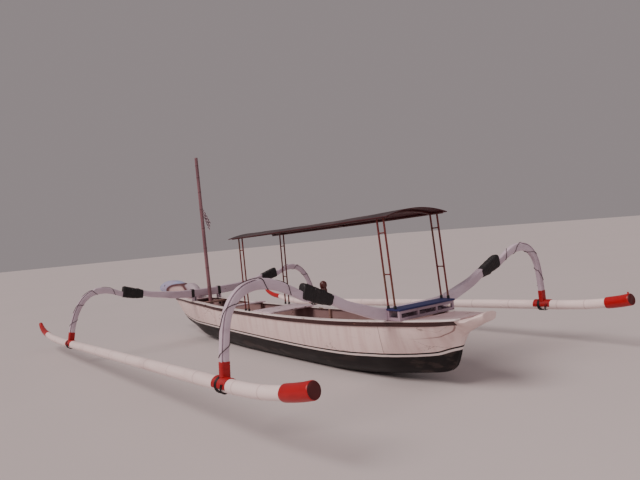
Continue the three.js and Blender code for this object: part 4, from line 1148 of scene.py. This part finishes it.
head_x = np.linspace(3.03, 4.765, 170)
crown, wide = column(head_rows, 2)(head_x), column(head_rows, 3)(head_x) * 1.06
on_deck = sheer(head_x) + np.where(head_x <= cap_end, cap_top, 0.0006)
base_z = np.where(head_x < stem_end, on_deck, column(head_rows[-4:], 1)(head_x))
base_y = np.minimum(wide * 0.75, breadth(head_x) + 0.04)
tall = crown - base_z
profile = [(0 * wide, base_z), (base_y, base_z), (wide, base_z + 0.45 * tall),
           (0.78 * wide, base_z + 0.84 * tall), (0.34 * wide, crown + 0.004), (0 * wide, crown + 0.004)]
ring = np.stack([np.stack(pair, axis=-1) for pair in profile], axis=1)
ring = np.concatenate([ring, ring[:, -2:0:-1] * [-1, 1]], axis=1)
# Corner cutting, thrice: each edge gives points at its quarter and three quarters
for _ in range(3):
    after = np.roll(ring, -1, axis=1)
    ring = np.stack([0.75 * ring + 0.25 * after, 0.25 * ring + 0.75 * after], axis=2)
    ring = ring.reshape(len(ring), -1, 2)
x, (y, z) = head_x[:, None] + 0 * ring[..., 0], np.moveaxis(ring, -1, 0)


def spot(cx, cz, rx, rz):
    """A soft oval on both cheeks: one at its middle, fading by the square of the distance."""
    return np.exp(-(((x - cx) / rx) ** 2) - ((z - cz) / rz) ** 2) * (abs(y) > 0.03)


arch_x, arch_z, arch_rx, arch_rz = 3.80, 0.84, 0.42, 0.135
ray = np.sqrt(((x - arch_x) / arch_rx) ** 2 + ((z - arch_z) / arch_rz) ** 2)
arched = np.exp(-(((ray - 1.0) / 0.16) ** 2)) * (z > arch_z - 0.03)
inside_arch = np.clip((1.0 - ray) * 6, 0, 1) * (z > arch_z - 0.06)
mouth = np.exp(-(((z - (0.80 + 0.05 * (x - 4.3))) / 0.008) ** 2)) * np.clip((x - 4.12) / 0.05, 0, 1)
nostril = spot(4.70, 0.93, 0.028, 0.018)
eye, pupil = spot(4.38, 0.955, 0.045, 0.030), spot(4.38, 0.955, 0.020, 0.014)
shift = 0.010 * arched - 0.010 * inside_arch - 0.008 * mouth - 0.006 * nostril + 0.010 * eye
moved = ring + outward(ring) * shift[..., None]
piece("carved_head", [{
    "rings": domed(np.concatenate([x[..., None], moved], axis=-1), 0.022),
    "attributes": {
        "brow": domed_marks(np.clip(arched * 1.4, 0, 1)), "cheek": domed_marks(inside_arch * 0.85),
        "dark": domed_marks(np.clip(mouth + nostril + pupil * 1.5, 0, 1))},
}], [head_look()], "head_paint", "bow_head")


# Tie knob: a turned wooden knob, dark red-brown and worn, stuck upright in the aft port lashing. Its
# rows are height and radius.
profile = np.array([[-10, 0], [0, 30], [12, 34], [30, 36], [44, 35], [54, 31], [60, 29], [66, 31], [74, 35],
                    [86, 37], [100, 37], [112, 34], [122, 27], [129, 18], [133, 9], [135, 3]]) / 1000
knob_z, knob_r = (np.interp(np.linspace(0, 15, 60), np.arange(16), profile[:, k]) for k in (0, 1))
foot = np.array([-2.690, 1.265, 1.160])
knob = tube(foot + knob_z[:, None] * [0, 0, 1], np.maximum(knob_r, 0.002), (0.0, 1.0, 0.0))
knob_wood = painted(
    "knob_wood", (0.075, 0.014, 0.012), (0.04, 0.012, 0.010), (0.18, 0.06, 0.045), (1.0, 1.0, 0.3),
    rough=0.35)
piece("knob_turned", [knob], [knob_wood], "brown_paint", "tie_knob")
